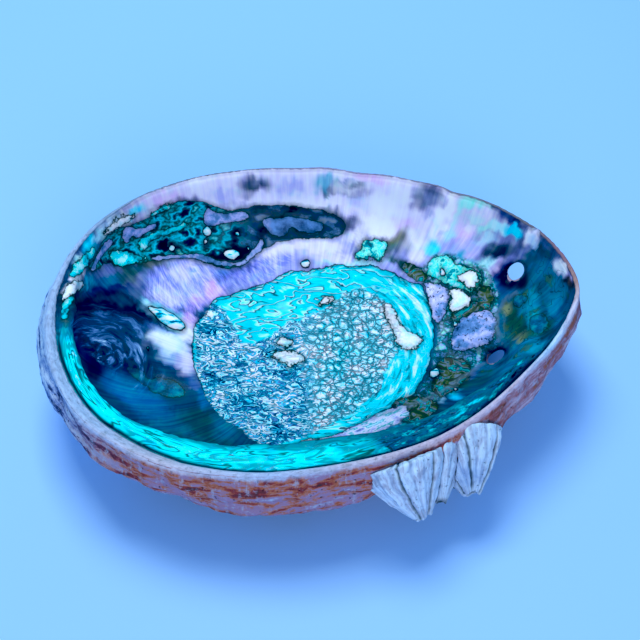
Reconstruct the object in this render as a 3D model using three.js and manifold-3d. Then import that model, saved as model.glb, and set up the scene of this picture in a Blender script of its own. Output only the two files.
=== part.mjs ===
// An abalone shell lying on its back, hollow side up, with four acorn barnacles grown on its outside.
// Millimetres, +Z up. X runs along the shell, from the spire at -X to the growing end at +X.
// The flat inner lip, or shelf, is on the -Y side. The origin is under the middle, on the table.
import * as THREE from "three";
import { ImprovedNoise } from "three/addons/math/ImprovedNoise.js";
import Module from "manifold-3d";

// Driving sizes of the shell.
const RIM_HEIGHT = 46; // the lip's crest above the table, in the middle of the shell
const RIM_TILT = 0.05; // the crest rises this much for each millimetre towards the back
const FLOOR_THICKNESS = 5.6;
const WALL_THICKNESS = 5; // measured in plan, under the lip
const DOME_FOOT = new THREE.Vector2(-8, -5); // where the dome is lowest
const WORN_DEPTH = 0.9; // the dome's lumps are worn flat this far where it rests
const RINGS = 22; // rings of the mesh from the middle to the lip

// Plan of the lip's crest, anticlockwise from the growing end.
const LIP_PLAN = [
  [98, 13], [88, 37], [62, 59.5], [28, 70], [-12, 74.5], [-50, 69], [-78, 51.5], [-94.5, 25],
  [-97.5, -12], [-84, -46.5], [-57, -66.5], [-25, -73.5], [10, -70], [47, -55.5], [77, -28], [94, -4],
].map(([x, y]) => new THREE.Vector3(x, y, 0));

// Each table below is keyed by the direction from the dome's foot, in degrees from +X.
// Width of the band from the crest to the free edge of the shelf.
const SHELF_WIDTH = [
  [-180, 11], [-150, 13], [-125, 15.5], [-100, 16], [-80, 15], [-55, 13], [-35, 10.5], [-15, 7.5],
  [3, 2.5], [20, 0], [140, 0], [160, 6],
];
// Width of the blunt lip, outside the shelf.
const LIP_WIDTH = [[-180, 4], [-120, 4.8], [-60, 3.6], [0, 3], [60, 2.4], [150, 2.8]];
// Fullness of the dome: 2 is an ellipse, and more has steeper sides and a flatter bottom.
const FULLNESS = [[-180, 2.6], [-150, 2.25], [-110, 2.6], [-85, 2.8], [-60, 2.8], [0, 2.35], [60, 2.15], [120, 2.2]];
// How far the outside swells beyond the crest.
const SWELL = [[-180, 6.5], [-150, 3.5], [-120, 2], [-90, 2], [-45, 3], [0, 1.5], [60, 0.6], [120, 0.8]];

// The spiral: its apex, and the row of holes that winds back to it from the growing end.
const APEX = new THREE.Vector2(-66, -24);
const HOLE_RADIUS = 3.6;
const HOLE_ROW = [
  { x: 80, y: 35, open: true, size: 1 },
  { x: 71, y: 5, open: true, size: 1 },
  { x: 51, y: -25, open: false, size: 0.95 },
  { x: 27, y: -42, open: false, size: 0.85 },
  { x: 2, y: -50, open: false, size: 0.75 },
  { x: -21, y: -52, open: false, size: 0.62 },
  { x: -42, y: -48, open: false, size: 0.5 },
];
const TUBERCLE_HEIGHT = 2.8;
const TUBERCLE_RADIUS = 8;

// The inside: the muscle scar in the middle, and the hollow that winds into the spire under its brow.
const SCAR = { x: 1, y: 5, rx: 46, ry: 43, rise: 2.2 };
const SPIRE_HOLLOW = { x: -68, y: -16, rx: 26, ry: 28, depth: 2.6 };
const BROW_LINE = [[-94, 20], [-80, 27], [-64, 18], [-50, 5], [-40, -6]];
const NOTCH_LINE = [[57, 64], [46, 50], [30, 40]];

const noise = new ImprovedNoise();
const mix = THREE.MathUtils.lerp;
const bump = (distance, width) => Math.exp(-((distance / width) ** 2));

// A soft step from 0 at one end to 1 at the other, in either order.
function smooth(from, to, v) {
  const t = THREE.MathUtils.clamp((v - from) / (to - from), 0, 1);
  return t * t * (3 - 2 * t);
}

// Reads a table of [degrees, value] at any direction, with soft steps between its rows.
function around(table, degrees) {
  const turn = ((degrees + 180) % 360 + 360) % 360 - 180;
  const after = table.findIndex(([at]) => at > turn);
  const [a0, v0] = table[after === -1 ? table.length - 1 : Math.max(after - 1, 0)];
  const [a1, v1] = after === -1 ? [table[0][0] + 360, table[0][1]] : table[after];
  return mix(v0, v1, smooth(a0, a1, turn));
}

const lipCurve = new THREE.CatmullRomCurve3(LIP_PLAN, true, "centripetal");
lipCurve.arcLengthDivisions = 800;

// The lip's crest at a share of the way round it, with the scallops and the notch of the growing edge.
function lipPoint(share) {
  const p = lipCurve.getPointAt(((share % 1) + 1) % 1);
  const out = new THREE.Vector3(p.x - DOME_FOOT.x, p.y - DOME_FOOT.y, 0).normalize();
  const growing = smooth(-40, 60, p.x) * smooth(-30, 30, p.y);
  const notch = Math.exp(-(((p.x - 56) / 4) ** 2)) * smooth(0, 40, p.y);
  const scallop = 0.9 * Math.sin(p.x * 0.27 + p.y * 0.1) * growing - 1.6 * notch;
  p.addScaledVector(out, scallop);
  const wave = 0.7 * Math.sin(p.x * 0.21) * growing + 0.5 * Math.sin(p.x * 0.06 + 1.2);
  p.z = RIM_HEIGHT + RIM_TILT * p.y + wave;
  return p;
}

const directionOf = (p) => THREE.MathUtils.radToDeg(Math.atan2(p.y - DOME_FOOT.y, p.x - DOME_FOOT.x));

// Distance from the apex to the lip in each direction, one row for each few degrees.
const LIP_STEPS = 400;
const lipFromApex = Array.from({ length: LIP_STEPS }, (_, i) => {
  const p = lipCurve.getPointAt(i / LIP_STEPS);
  return { turn: Math.atan2(p.y - APEX.y, p.x - APEX.x), reach: Math.hypot(p.x - APEX.x, p.y - APEX.y) };
}).sort((a, b) => a.turn - b.turn);

// Growth coordinates of a point in plan: grown is 0 at the apex and 1 at the lip.
function growthAt(x, y) {
  const turn = Math.atan2(y - APEX.y, x - APEX.x);
  const next = lipFromApex.findIndex((row) => row.turn >= turn);
  const b = lipFromApex[next === -1 ? 0 : next];
  const a = lipFromApex[(next <= 0 ? LIP_STEPS : next) - 1];
  const span = (b.turn - a.turn + 2 * Math.PI) % (2 * Math.PI) || 1e-6;
  const share = ((turn - a.turn + 2 * Math.PI) % (2 * Math.PI)) / span;
  return { turn, grown: Math.hypot(x - APEX.x, y - APEX.y) / mix(a.reach, b.reach, share) };
}

// A smooth line in plan, as points, and a point's distance from it: positive on the line's right.
const LINE_STEPS = 120;
const lineThrough = (plan) => new THREE.CatmullRomCurve3(
  plan.map(([x, y]) => new THREE.Vector3(x, y, 0)), false, "centripetal").getSpacedPoints(LINE_STEPS);
function beside(line, x, y) {
  let best = { away: Infinity, along: 0 };
  line.forEach((p, i) => {
    const away = Math.hypot(x - p.x, y - p.y);
    if (away < Math.abs(best.away)) {
      const q = line[Math.min(i + 1, LINE_STEPS)];
      const o = line[Math.max(i - 1, 0)];
      const side = (q.x - o.x) * (y - o.y) - (q.y - o.y) * (x - o.x) > 0 ? -1 : 1;
      best = { away: side * away, along: i / LINE_STEPS };
    }
  });
  return best;
}
const rowLine = lineThrough([[90, 52], ...HOLE_ROW.map((h) => [h.x, h.y]), [-60, -40]]);
const browLine = lineThrough(BROW_LINE);
const notchLine = lineThrough(NOTCH_LINE);

// A rounded stair: it climbs through each unit and drops back near its end, as growth ledges do.
function stair(v) {
  const part = v - Math.floor(v);
  return smooth(0, 0.75, part) * smooth(1, 0.75, part);
}

// Height of the outside's own relief at a point that lies a share out from the dome's foot.
function outsideRelief(p, out) {
  const { turn, grown } = growthAt(p.x, p.y);
  const fade = smooth(1, 0.96, out);
  const age = mix(grown, out, smooth(0.45, 0.85, out));
  const warp = 0.6 * noise.noise(p.x * 0.022, p.y * 0.022, p.z * 0.03);
  const folds = 1.1 * Math.sin(2 * Math.PI * (age * 6 + warp + 0.25 * Math.sin(2 * turn)));
  const ledges = 1.6 * stair(age * 11 + 1.7 * warp);
  const lumps = 2.2 * noise.noise(p.x * 0.05, p.y * 0.05, p.z * 0.07)
    + 1.1 * noise.noise(p.x * 0.12, p.y * 0.12, p.z * 0.14 + 7.7);
  const coil = 3.4 * bump(grown - 0.05, 0.22);
  const suture = 1.8 * bump(grown - 0.17 - 0.03 * turn, 0.06);
  const tubercles = HOLE_ROW.reduce((sum, h) => {
    const spread = TUBERCLE_RADIUS * (0.5 + 0.5 * h.size);
    return sum + TUBERCLE_HEIGHT * h.size * bump(Math.hypot(p.x - h.x, p.y - h.y), spread);
  }, 0) * smooth(1, 0.85, out);
  const row = beside(rowLine, p.x, p.y);
  const keel = 1.6 * bump(row.away, 8) * (1 - row.along);
  return (folds + ledges + lumps + coil - suture + keel) * fade + tubercles;
}

// Height of the inside's own relief at a point in plan.
function insideRelief(x, y) {
  const scarAway = Math.hypot((x - SCAR.x) / SCAR.rx, (y - SCAR.y) / SCAR.ry);
  const edge = 1 + 0.1 * noise.noise(x * 0.05, y * 0.05, 5.5);
  const scar = SCAR.rise * smooth(edge + 0.07, edge - 0.05, scarAway);
  const rough = 1.1 * noise.noise(x * 0.09, y * 0.09, 9.2) * smooth(0.95, 0.75, scarAway);
  const hollowAway = Math.hypot((x - SPIRE_HOLLOW.x) / SPIRE_HOLLOW.rx, (y - SPIRE_HOLLOW.y) / SPIRE_HOLLOW.ry);
  const hollow = -SPIRE_HOLLOW.depth * smooth(1.1, 0.5, hollowAway);
  const brow = beside(browLine, x, y);
  const browEnds = smooth(0, 0.2, brow.along) * smooth(1, 0.7, brow.along);
  const overhang = 3.6 * bump(brow.away, brow.away > 0 ? 8 : 14) * browEnds;
  const row = beside(rowLine, x, y);
  const rowEnds = smooth(0.02, 0.12, row.along) * smooth(0.65, 0.42, row.along);
  const groove = -2.2 * bump(row.away, 6) * rowEnds;
  const fold = 3.4 * bump(row.away + 10, 6) * rowEnds;
  const notch = beside(notchLine, x, y);
  const valley = -1.8 * bump(notch.away, 6.5) * smooth(1, 0.6, notch.along);
  const waves = 1.2 * Math.sin(x * 0.16 + 0.5 * Math.sin(y * 0.08)) * smooth(25, 50, y);
  const ledge = 1.6 * noise.noise(x * 0.045, y * 0.07, 2.2) * smooth(1, 1.25, scarAway);
  return scar + rough + hollow + overhang + groove + fold + valley + waves + ledge;
}

// The dome without relief: the outside at a share round the lip and a share out from the foot.
function domePoint(share, out) {
  const lip = lipPoint(share);
  const direction = directionOf(lip);
  const n = around(FULLNESS, direction);
  const a = (out * Math.PI) / 2;
  const wide = Math.sin(a) ** (2 / n);
  const rise = 1 - Math.cos(a) ** (2 / n);
  const drop = THREE.MathUtils.clamp((1 - rise) * 1.25, 0, 1);
  const swell = around(SWELL, direction) * Math.sin(Math.PI * drop) ** 1.5;
  const reach = Math.hypot(lip.x - DOME_FOOT.x, lip.y - DOME_FOOT.y);
  const scale = wide * (1 + (rise > 0.2 ? swell / reach : 0));
  return new THREE.Vector3(
    DOME_FOOT.x + (lip.x - DOME_FOOT.x) * scale,
    DOME_FOOT.y + (lip.y - DOME_FOOT.y) * scale,
    lip.z * rise,
  );
}

// The inside's wall and floor: a smaller dome, with its own angle from the middle to the wall's top.
function bowlPoint(lip, direction, a) {
  const n = around(FULLNESS, direction) + 0.1;
  const wide = Math.sin(a) ** (2 / n);
  const rise = 1 - Math.cos(a) ** (2 / n);
  const reach = Math.hypot(lip.x - DOME_FOOT.x, lip.y - DOME_FOOT.y);
  const hidden = around(SHELF_WIDTH, direction) > 4 ? WALL_THICKNESS : WALL_THICKNESS * 0.7;
  const scale = wide * (1 - hidden / reach);
  return new THREE.Vector3(
    DOME_FOOT.x + (lip.x - DOME_FOOT.x) * scale,
    DOME_FOOT.y + (lip.y - DOME_FOOT.y) * scale,
    FLOOR_THICKNESS + (lip.z - 1 - FLOOR_THICKNESS) * rise,
  );
}

// The inside from the crest down, ring by ring: lip, shelf, its overhanging edge, wall and floor.
const SHELF_RINGS = 7; // rings from the crest to the start of the wall under the shelf
const WALL_TOP = THREE.MathUtils.degToRad(80); // where the wall starts, under the shelf
function insidePoint(share, ring) {
  const lip = lipPoint(share);
  if (ring === RINGS) return lip;
  const direction = directionOf(lip);
  const shelf = around(SHELF_WIDTH, direction);
  const blunt = around(LIP_WIDTH, direction);
  const reach = Math.hypot(lip.x - DOME_FOOT.x, lip.y - DOME_FOOT.y);
  const inFromCrest = (d, drop) => new THREE.Vector3(
    mix(lip.x, DOME_FOOT.x, d / reach), mix(lip.y, DOME_FOOT.y, d / reach), lip.z - drop);
  const step = RINGS - ring;
  const plain = step === 1 ? inFromCrest(blunt * 0.5, 0.1)
    : step === 2 ? inFromCrest(blunt, 1)
      : bowlPoint(lip, direction, (ring / (RINGS - 2)) * (Math.PI / 2));
  const flat = shelf - blunt;
  const shelved = [
    null,
    inFromCrest(blunt * 0.5, 0.1),
    inFromCrest(blunt, 1.9),
    inFromCrest(blunt + flat * 0.25, 0.9),
    inFromCrest(blunt + flat * 0.7, 1),
    inFromCrest(shelf, 2.4),
    inFromCrest(shelf - 0.6, 4.4),
  ][step] ?? bowlPoint(lip, direction, (ring / (RINGS - SHELF_RINGS)) * WALL_TOP);
  return plain.lerp(shelved, smooth(3.5, 8, shelf));
}

// A round mesh of square cells: ring k holds 8k corners, and share says how far round one lies.
function cornerOf(i, j) {
  const ring = Math.max(Math.abs(i), Math.abs(j));
  if (ring === 0) return { ring, share: 0 };
  let m = 6 * ring + i;
  if (i === ring) m = j;
  else if (j === ring) m = 2 * ring - i;
  else if (i === -ring) m = 4 * ring - j;
  return { ring, share: (((m % (8 * ring)) + 8 * ring) % (8 * ring)) / (8 * ring) };
}

// One side of the shell as a grid of corners, raised by its relief along the normals.
function surface(pointAt, relief, facing) {
  const corners = new Map();
  for (let i = -RINGS; i <= RINGS; i++)
    for (let j = -RINGS; j <= RINGS; j++) {
      const { ring, share } = cornerOf(i, j);
      corners.set(`${i},${j}`, { ring, point: pointAt(share, ring) });
    }
  const at = (i, j) => corners.get(`${i},${j}`)?.point;
  const raised = new Map();
  for (let i = -RINGS; i <= RINGS; i++)
    for (let j = -RINGS; j <= RINGS; j++) {
      const { ring, point } = corners.get(`${i},${j}`);
      const du = (at(i + 1, j) ?? point).clone().sub(at(i - 1, j) ?? point);
      const dv = (at(i, j + 1) ?? point).clone().sub(at(i, j - 1) ?? point);
      const normal = du.cross(dv).normalize().multiplyScalar(facing);
      const height = ring === RINGS ? 0 : relief(point, ring);
      raised.set(`${i},${j}`, point.clone().addScaledVector(normal, height));
    }
  return raised;
}

// The eight corners round a corner, in order.
const ROUND = [[1, 0], [1, 1], [0, 1], [-1, 1], [-1, 0], [-1, -1], [0, -1], [1, -1]];

// Finds the corner nearest a point in plan, and moves the eight round it onto the hole's edge.
function openHole(grid, hole) {
  let middle = null;
  let nearest = Infinity;
  for (const [key, p] of grid) {
    const [i, j] = key.split(",").map(Number);
    const away = Math.hypot(p.x - hole.x, p.y - hole.y);
    if (away < nearest && Math.max(Math.abs(i), Math.abs(j)) < RINGS - 3) {
      nearest = away;
      middle = [i, j];
    }
  }
  const [i, j] = middle;
  const centre = grid.get(`${i},${j}`).clone();
  const ring = ROUND.map(([di, dj]) => `${i + di},${j + dj}`);
  const normal = new THREE.Vector3();
  ring.forEach((key, k) => {
    const a = grid.get(key).clone().sub(centre);
    const b = grid.get(ring[(k + 1) % 8]).clone().sub(centre);
    normal.add(a.cross(b));
  });
  normal.normalize();
  const aside = new THREE.Vector3(hole.x - centre.x, hole.y - centre.y, 0);
  aside.z = -aside.dot(normal) / normal.z;
  for (const key of ring) {
    const arm = grid.get(key).clone().sub(centre);
    arm.addScaledVector(normal, -arm.dot(normal)).setLength(HOLE_RADIUS);
    grid.get(key).copy(centre).add(aside).add(arm);
  }
  return { middle, ring };
}

// The whole shell as one closed mesh. Grown pushes the outside out, for cutting what sits on it.
function shellGeometry(grown = 0) {
  const inside = surface(insidePoint, (p, ring) => {
    const fade = smooth(RINGS - 3, RINGS - 9, ring);
    return insideRelief(p.x, p.y) * fade;
  }, 1);
  const outside = surface((share, ring) => domePoint(share, ring / RINGS),
    (p, ring) => outsideRelief(p, ring / RINGS) + grown, -1);
  for (const p of outside.values()) p.z = Math.max(p.z - WORN_DEPTH, 0);
  for (const [key, p] of outside) {
    const { ring } = cornerOf(...key.split(",").map(Number));
    if (ring === RINGS) p.copy(inside.get(key));
  }
  const tunnels = HOLE_ROW.filter((h) => h.open).map((h) => [openHole(inside, h), openHole(outside, h)]);

  const positions = [];
  const indices = [];
  const numbers = { inside: new Map(), outside: new Map() };
  const number = (side, grid, key) => {
    const { ring } = cornerOf(...key.split(",").map(Number));
    const shared = ring === RINGS ? "inside" : side;
    if (!numbers[shared].has(key)) {
      numbers[shared].set(key, positions.length / 3);
      positions.push(...grid.get(key).toArray());
    }
    return numbers[shared].get(key);
  };
  const quad = (a, b, c, d) => indices.push(a, b, c, a, c, d);
  const inHole = (side, i, j) => tunnels.some((pair) => {
    const [mi, mj] = pair[side].middle;
    return (i === mi || i === mi - 1) && (j === mj || j === mj - 1);
  });
  for (let i = -RINGS; i < RINGS; i++)
    for (let j = -RINGS; j < RINGS; j++) {
      const keys = [`${i},${j}`, `${i + 1},${j}`, `${i + 1},${j + 1}`, `${i},${j + 1}`];
      // Each cell is split towards the middle, so none at the four corners of a ring is left flat.
      if ((i + 0.5) * (j + 0.5) < 0) keys.push(keys.shift());
      const [a, b, c, d] = keys;
      if (!inHole(0, i, j)) quad(...[a, b, c, d].map((key) => number("inside", inside, key)));
      if (!inHole(1, i, j)) quad(...[a, d, c, b].map((key) => number("outside", outside, key)));
    }
  for (const [inner, outer] of tunnels) {
    const spread = (shift) => inner.ring.reduce((sum, key, k) =>
      sum + inside.get(key).distanceTo(outside.get(outer.ring[(k + shift) % 8])), 0);
    const shift = [0, 1, 2, 3, 4, 5, 6, 7].sort((a, b) => spread(a) - spread(b))[0];
    inner.ring.forEach((key, k) => {
      const next = inner.ring[(k + 1) % 8];
      const below = outer.ring[(k + shift) % 8];
      const belowNext = outer.ring[(k + 1 + shift) % 8];
      quad(number("inside", inside, key), number("inside", inside, next),
        number("outside", outside, belowNext), number("outside", outside, below));
    });
  }
  return new THREE.BufferGeometry()
    .setAttribute("position", new THREE.Float32BufferAttribute(positions, 3))
    .setIndex(indices);
}

// Acorn barnacles under the lip at the front right: where each grows, which way it points, its size.
const BARNACLES = [
  { name: "barnacle_large", at: [31, -62, 30], points: [0.34, -0.68, -0.65], wide: 15.5, deep: 14, tall: 17.5, mouth: 3.6, plates: 6, turn: 0.3 },
  { name: "barnacle_wedge", at: [44, -55, 27.5], points: [-0.05, -0.9, -0.42], wide: 6.5, deep: 12, tall: 16, mouth: 1.8, plates: 4, turn: 1.1 },
  { name: "barnacle_right", at: [52, -49, 27.5], points: [0.1, -0.9, -0.42], wide: 13.5, deep: 13.5, tall: 18, mouth: 3.4, plates: 6, turn: 0.8 },
  { name: "barnacle_small", at: [50, -50, 19], points: [-0.05, -0.75, -0.65], wide: 6.5, deep: 6, tall: 10, mouth: 2, plates: 6, turn: 0.1 },
];
const BARNACLE_SIDES = 23;
const BARNACLE_GAP = 0.3;
const BARNACLE_ROOT = 4; // how far each cone reaches into the shell before it is cut to fit

// A fluted cone with a sunk mouth at its tip, standing along +Z with its base below zero.
function barnacleGeometry({ wide, deep, tall, mouth, plates, turn }, grown = 0) {
  const rows = [
    [1.12, -BARNACLE_ROOT], [1.08, 0], [0.92, 0.28], [0.72, 0.58], [0.5, 0.86], [0.4, 1], // outside, base to tip
  ];
  const positions = [];
  const push = (radius, height, flute) => {
    for (let k = 0; k < BARNACLE_SIDES; k++) {
      const a = (k / BARNACLE_SIDES) * 2 * Math.PI;
      const seam = Math.abs(Math.sin((a + turn) * plates * 0.5)) ** 0.5;
      const ribs = 1 + flute * (0.06 * Math.sin(a * 11 + turn) - 0.1 * (1 - seam));
      const crown = height > 0 ? flute * 0.03 * tall * (Math.sin(a * plates * 0.5 + turn) + 0.3 * Math.sin(a * 7)) : 0;
      positions.push(
        (radius.x * ribs + grown) * Math.cos(a), (radius.y * ribs + grown) * Math.sin(a), height + crown);
    }
  };
  const span = (share) => ({ x: mix(mouth, wide, share), y: mix(mouth * 0.8, deep, share) });
  rows.forEach(([share, up]) => push(span((share - 0.4) / 0.68), up < 0 ? up : up * tall, up < 0 ? 0 : 1));
  push({ x: mouth * 0.62, y: mouth * 0.5 }, tall - 0.8, 0.6);
  push({ x: mouth * 0.45, y: mouth * 0.36 }, tall * 0.72, 0.3);
  const rings = positions.length / 3 / BARNACLE_SIDES;
  const indices = [];
  for (let r = 0; r < rings - 1; r++)
    for (let k = 0; k < BARNACLE_SIDES; k++) {
      const a = r * BARNACLE_SIDES + k;
      const b = r * BARNACLE_SIDES + ((k + 1) % BARNACLE_SIDES);
      indices.push(a, b, b + BARNACLE_SIDES, a, b + BARNACLE_SIDES, a + BARNACLE_SIDES);
    }
  const bottom = positions.length / 3;
  positions.push(0, 0, -BARNACLE_ROOT);
  const floor = bottom + 1;
  positions.push(0, 0, tall * 0.66);
  for (let k = 0; k < BARNACLE_SIDES; k++) {
    const next = (k + 1) % BARNACLE_SIDES;
    indices.push(bottom, next, k);
    const last = (rings - 1) * BARNACLE_SIDES;
    indices.push(floor, last + k, last + next);
  }
  return new THREE.BufferGeometry()
    .setAttribute("position", new THREE.Float32BufferAttribute(positions, 3))
    .setIndex(indices);
}

const wasm = await Module();
wasm.setup();

function solidFrom(geometry) {
  return new wasm.Manifold(new wasm.Mesh({
    numProp: 3,
    vertProperties: new Float32Array(geometry.getAttribute("position").array),
    triVerts: new Uint32Array(geometry.index.array),
  }));
}

function geometryFrom(solid) {
  const mesh = solid.getMesh();
  const points = new Float32Array(mesh.numVert * 3);
  for (let v = 0; v < mesh.numVert; v++)
    points.set(mesh.vertProperties.subarray(v * mesh.numProp, v * mesh.numProp + 3), v * 3);
  return new THREE.BufferGeometry()
    .setAttribute("position", new THREE.BufferAttribute(points, 3))
    .setIndex(new THREE.BufferAttribute(mesh.triVerts, 1));
}

// Turns a barnacle to point its way, and puts it on the shell's outside.
function placed(geometry, barnacle) {
  const turn = new THREE.Quaternion().setFromUnitVectors(
    new THREE.Vector3(0, 0, 1), new THREE.Vector3(...barnacle.points).normalize());
  return geometry.applyQuaternion(turn).translate(...barnacle.at);
}

const nacre = new THREE.MeshStandardMaterial({ color: 0x2fb9c4, roughness: 0.25, metalness: 0.2 });
const chalk = new THREE.MeshStandardMaterial({ color: 0xd9dce2, roughness: 0.9, metalness: 0 });

const abalone = new THREE.Group();
const shell = new THREE.Mesh(shellGeometry(), nacre);
shell.name = "shell";
abalone.add(shell);

let occupied = solidFrom(shellGeometry(BARNACLE_GAP));
for (const barnacle of BARNACLES) {
  const body = solidFrom(placed(barnacleGeometry(barnacle), barnacle)).subtract(occupied);
  const outermost = body.decompose().sort((a, b) => a.boundingBox().min[1] - b.boundingBox().min[1])[0];
  const mesh = new THREE.Mesh(geometryFrom(outermost), chalk);
  mesh.name = barnacle.name;
  abalone.add(mesh);
  occupied = occupied.add(solidFrom(placed(barnacleGeometry(barnacle, BARNACLE_GAP), barnacle)));
}

// Puts the origin under the middle of the whole object.
const box = new THREE.Box3().setFromObject(abalone);
const middle = box.getCenter(new THREE.Vector3());
for (const mesh of abalone.children) mesh.geometry.translate(-middle.x, -middle.y, -box.min.z);

export default abalone;
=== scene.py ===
# %% [markdown]
# # An abalone shell, from its solid to its looks
#
# A red abalone grows its shell as one bowl: a rough brick-red crust outside and a thin skin of nacre,
# the mother-of-pearl, inside. Four barnacles have cemented themselves to the crust.
# The solid model gives the bowl's main shape, its lip, holes and barnacles. Here each of them gets its
# fine relief and its colours. The lesson keeps to the order in which a shell carver would describe it:
# the view, the skin, the forms on the skin, the markings, and at last the finish.

# %% Load the solids
import math

import bpy
import numpy as np
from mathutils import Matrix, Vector, kdtree, noise


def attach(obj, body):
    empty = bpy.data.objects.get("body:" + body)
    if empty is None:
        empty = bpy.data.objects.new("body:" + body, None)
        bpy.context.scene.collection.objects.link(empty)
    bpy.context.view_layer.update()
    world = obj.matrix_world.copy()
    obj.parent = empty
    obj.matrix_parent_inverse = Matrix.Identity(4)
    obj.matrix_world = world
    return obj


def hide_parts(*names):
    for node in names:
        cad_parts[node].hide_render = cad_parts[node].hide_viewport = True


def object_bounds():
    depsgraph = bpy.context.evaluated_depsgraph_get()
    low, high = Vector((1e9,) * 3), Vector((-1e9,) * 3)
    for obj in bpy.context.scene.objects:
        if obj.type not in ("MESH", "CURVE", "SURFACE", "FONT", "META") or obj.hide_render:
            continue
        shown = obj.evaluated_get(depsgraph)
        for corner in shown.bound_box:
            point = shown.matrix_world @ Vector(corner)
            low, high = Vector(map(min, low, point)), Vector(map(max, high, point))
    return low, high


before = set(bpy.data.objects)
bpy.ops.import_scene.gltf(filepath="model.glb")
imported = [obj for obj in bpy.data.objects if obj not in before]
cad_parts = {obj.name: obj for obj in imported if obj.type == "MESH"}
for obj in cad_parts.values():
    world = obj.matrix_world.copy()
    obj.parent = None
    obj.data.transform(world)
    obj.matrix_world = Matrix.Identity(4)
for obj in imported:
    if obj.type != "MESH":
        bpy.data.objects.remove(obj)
CAD_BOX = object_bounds()
MM = 0.001
print("solids:", sorted(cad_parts))

# %% [markdown]
# ## The view
#
# The shell lies open on the ground and is seen from in front, 47 degrees above the table. The camera
# comes first, because the markings are drawn as they are seen from there.

# %% Camera
VIEW_HEIGHT = math.radians(47)
VIEW_DISTANCE = 480 * MM
VIEW_AIM = Vector((3.5, 12.9, 25)) * MM
LENS, FILM = 70.03, 36

to_eye = Vector((0, -math.cos(VIEW_HEIGHT), math.sin(VIEW_HEIGHT)))
eye = VIEW_AIM + to_eye * VIEW_DISTANCE
bpy.ops.object.select_all(action="DESELECT")
bpy.ops.object.camera_add(location=eye, rotation=(math.pi / 2 - VIEW_HEIGHT, 0, 0))
camera = bpy.context.object
camera.data.lens = LENS
camera.data.sensor_width = FILM
bpy.context.scene.camera = camera
print("camera at", [round(c, 4) for c in eye])

# %% [markdown]
# ## Floor and light
#
# A plain pale blue ground and a wide soft lamp behind the shell, as a window gives.
# A bluish sky fills the shadows, because the real shell was seen in cold daylight. The plain view
# transform keeps the strong colours of nacre, which a film-like one would wash out, and a slight black
# level takes the haze out of the depths.

# %% Floor
FLOOR_SIZE = 6.0
FLOOR_COLOUR = (0.32, 0.56, 0.93, 1)


def plain_material(name, colour, roughness):
    """A material of one colour, for what isn't part of the shell."""
    material = bpy.data.materials.new(name)
    material.use_nodes = True
    surface = material.node_tree.nodes["Principled BSDF"]
    surface.inputs["Base Color"].default_value = colour
    surface.inputs["Roughness"].default_value = roughness
    return material


bpy.ops.mesh.primitive_plane_add(size=FLOOR_SIZE)
floor = bpy.context.object
floor.name = "floor"
floor.data.materials.append(plain_material("pale_ground", FLOOR_COLOUR, 0.8))
print("floor:", FLOOR_SIZE, "metres across")

# %% Light
LAMPS = [
    # name, place in metres, size, power, colour
    ("window", (-0.16, 0.36, 1.14), 0.55, 11.2, (0.82, 0.94, 1.0)),
    ("front_fill", (0.1, -0.95, 0.46), 0.5, 5, (1.0, 0.9, 0.96)),
]
for lamp_name, place, size, power, tint in LAMPS:
    aim = (VIEW_AIM - Vector(place)).to_track_quat("-Z", "Y").to_euler()
    bpy.ops.object.light_add(type="AREA", location=place, rotation=aim)
    lamp = bpy.context.object
    lamp.name = lamp_name
    lamp.data.size = size
    lamp.data.energy = power
    lamp.data.color = tint

SKY_COLOUR, SKY_STRENGTH = (0.16, 0.5, 1.0, 1), 0.66
BLACK_LEVEL = (0.02, 0.012, 0.0)
sky = bpy.data.worlds.new("cold_daylight")
sky.use_nodes = True
background = sky.node_tree.nodes["Background"]
background.inputs["Color"].default_value = SKY_COLOUR
background.inputs["Strength"].default_value = SKY_STRENGTH
bpy.context.scene.world = sky
view = bpy.context.scene.view_settings
view.view_transform = "Standard"
view.use_curve_mapping = True
view.curve_mapping.black_level = BLACK_LEVEL
view.curve_mapping.update()
print("lamps:", [lamp[0] for lamp in LAMPS])

# %% [markdown]
# ## The skin
#
# The shell's solid is coarse, so that it stays light. Its skin here is a copy, merged and turned back into
# four-sided cells, then smoothed with Subdivision Surface. A shell has no primitive that it could start
# from, and the copy keeps it exactly where the solid is. The muscle scar has the finest relief, so its
# cells are divided once more.

# %% Copy a solid
def select_only(piece):
    """Deselects everything, then selects and activates one piece."""
    bpy.ops.object.select_all(action="DESELECT")
    piece.select_set(True)
    bpy.context.view_layer.objects.active = piece


def copy_of_solid(node, name):
    """A merged copy of a solid, free of its body."""
    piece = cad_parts[node].copy()
    piece.data = piece.data.copy()
    piece.name = piece.data.name = name
    piece.parent = None
    for key in list(piece.keys()):
        del piece[key]
    bpy.context.scene.collection.objects.link(piece)
    select_only(piece)
    bpy.ops.object.mode_set(mode="EDIT")
    bpy.ops.mesh.select_all(action="SELECT")
    bpy.ops.mesh.remove_doubles(threshold=0.00001)
    bpy.ops.object.mode_set(mode="OBJECT")
    piece.data.materials.clear()
    return piece


def counted(piece):
    """A line of text with the piece's size in triangles."""
    triangles = sum(len(face.vertices) - 2 for face in piece.data.polygons)
    return f"{piece.name}: {triangles} triangles"


skin = copy_of_solid("shell", "shell_skin")
bpy.ops.object.mode_set(mode="EDIT")
bpy.ops.mesh.tris_convert_to_quads(face_threshold=math.radians(60), shape_threshold=math.radians(120))
bpy.ops.object.mode_set(mode="OBJECT")
four_sided = sum(len(face.vertices) == 4 for face in skin.data.polygons)
print(counted(skin), "with", four_sided, "four-sided faces of", len(skin.data.polygons))

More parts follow.
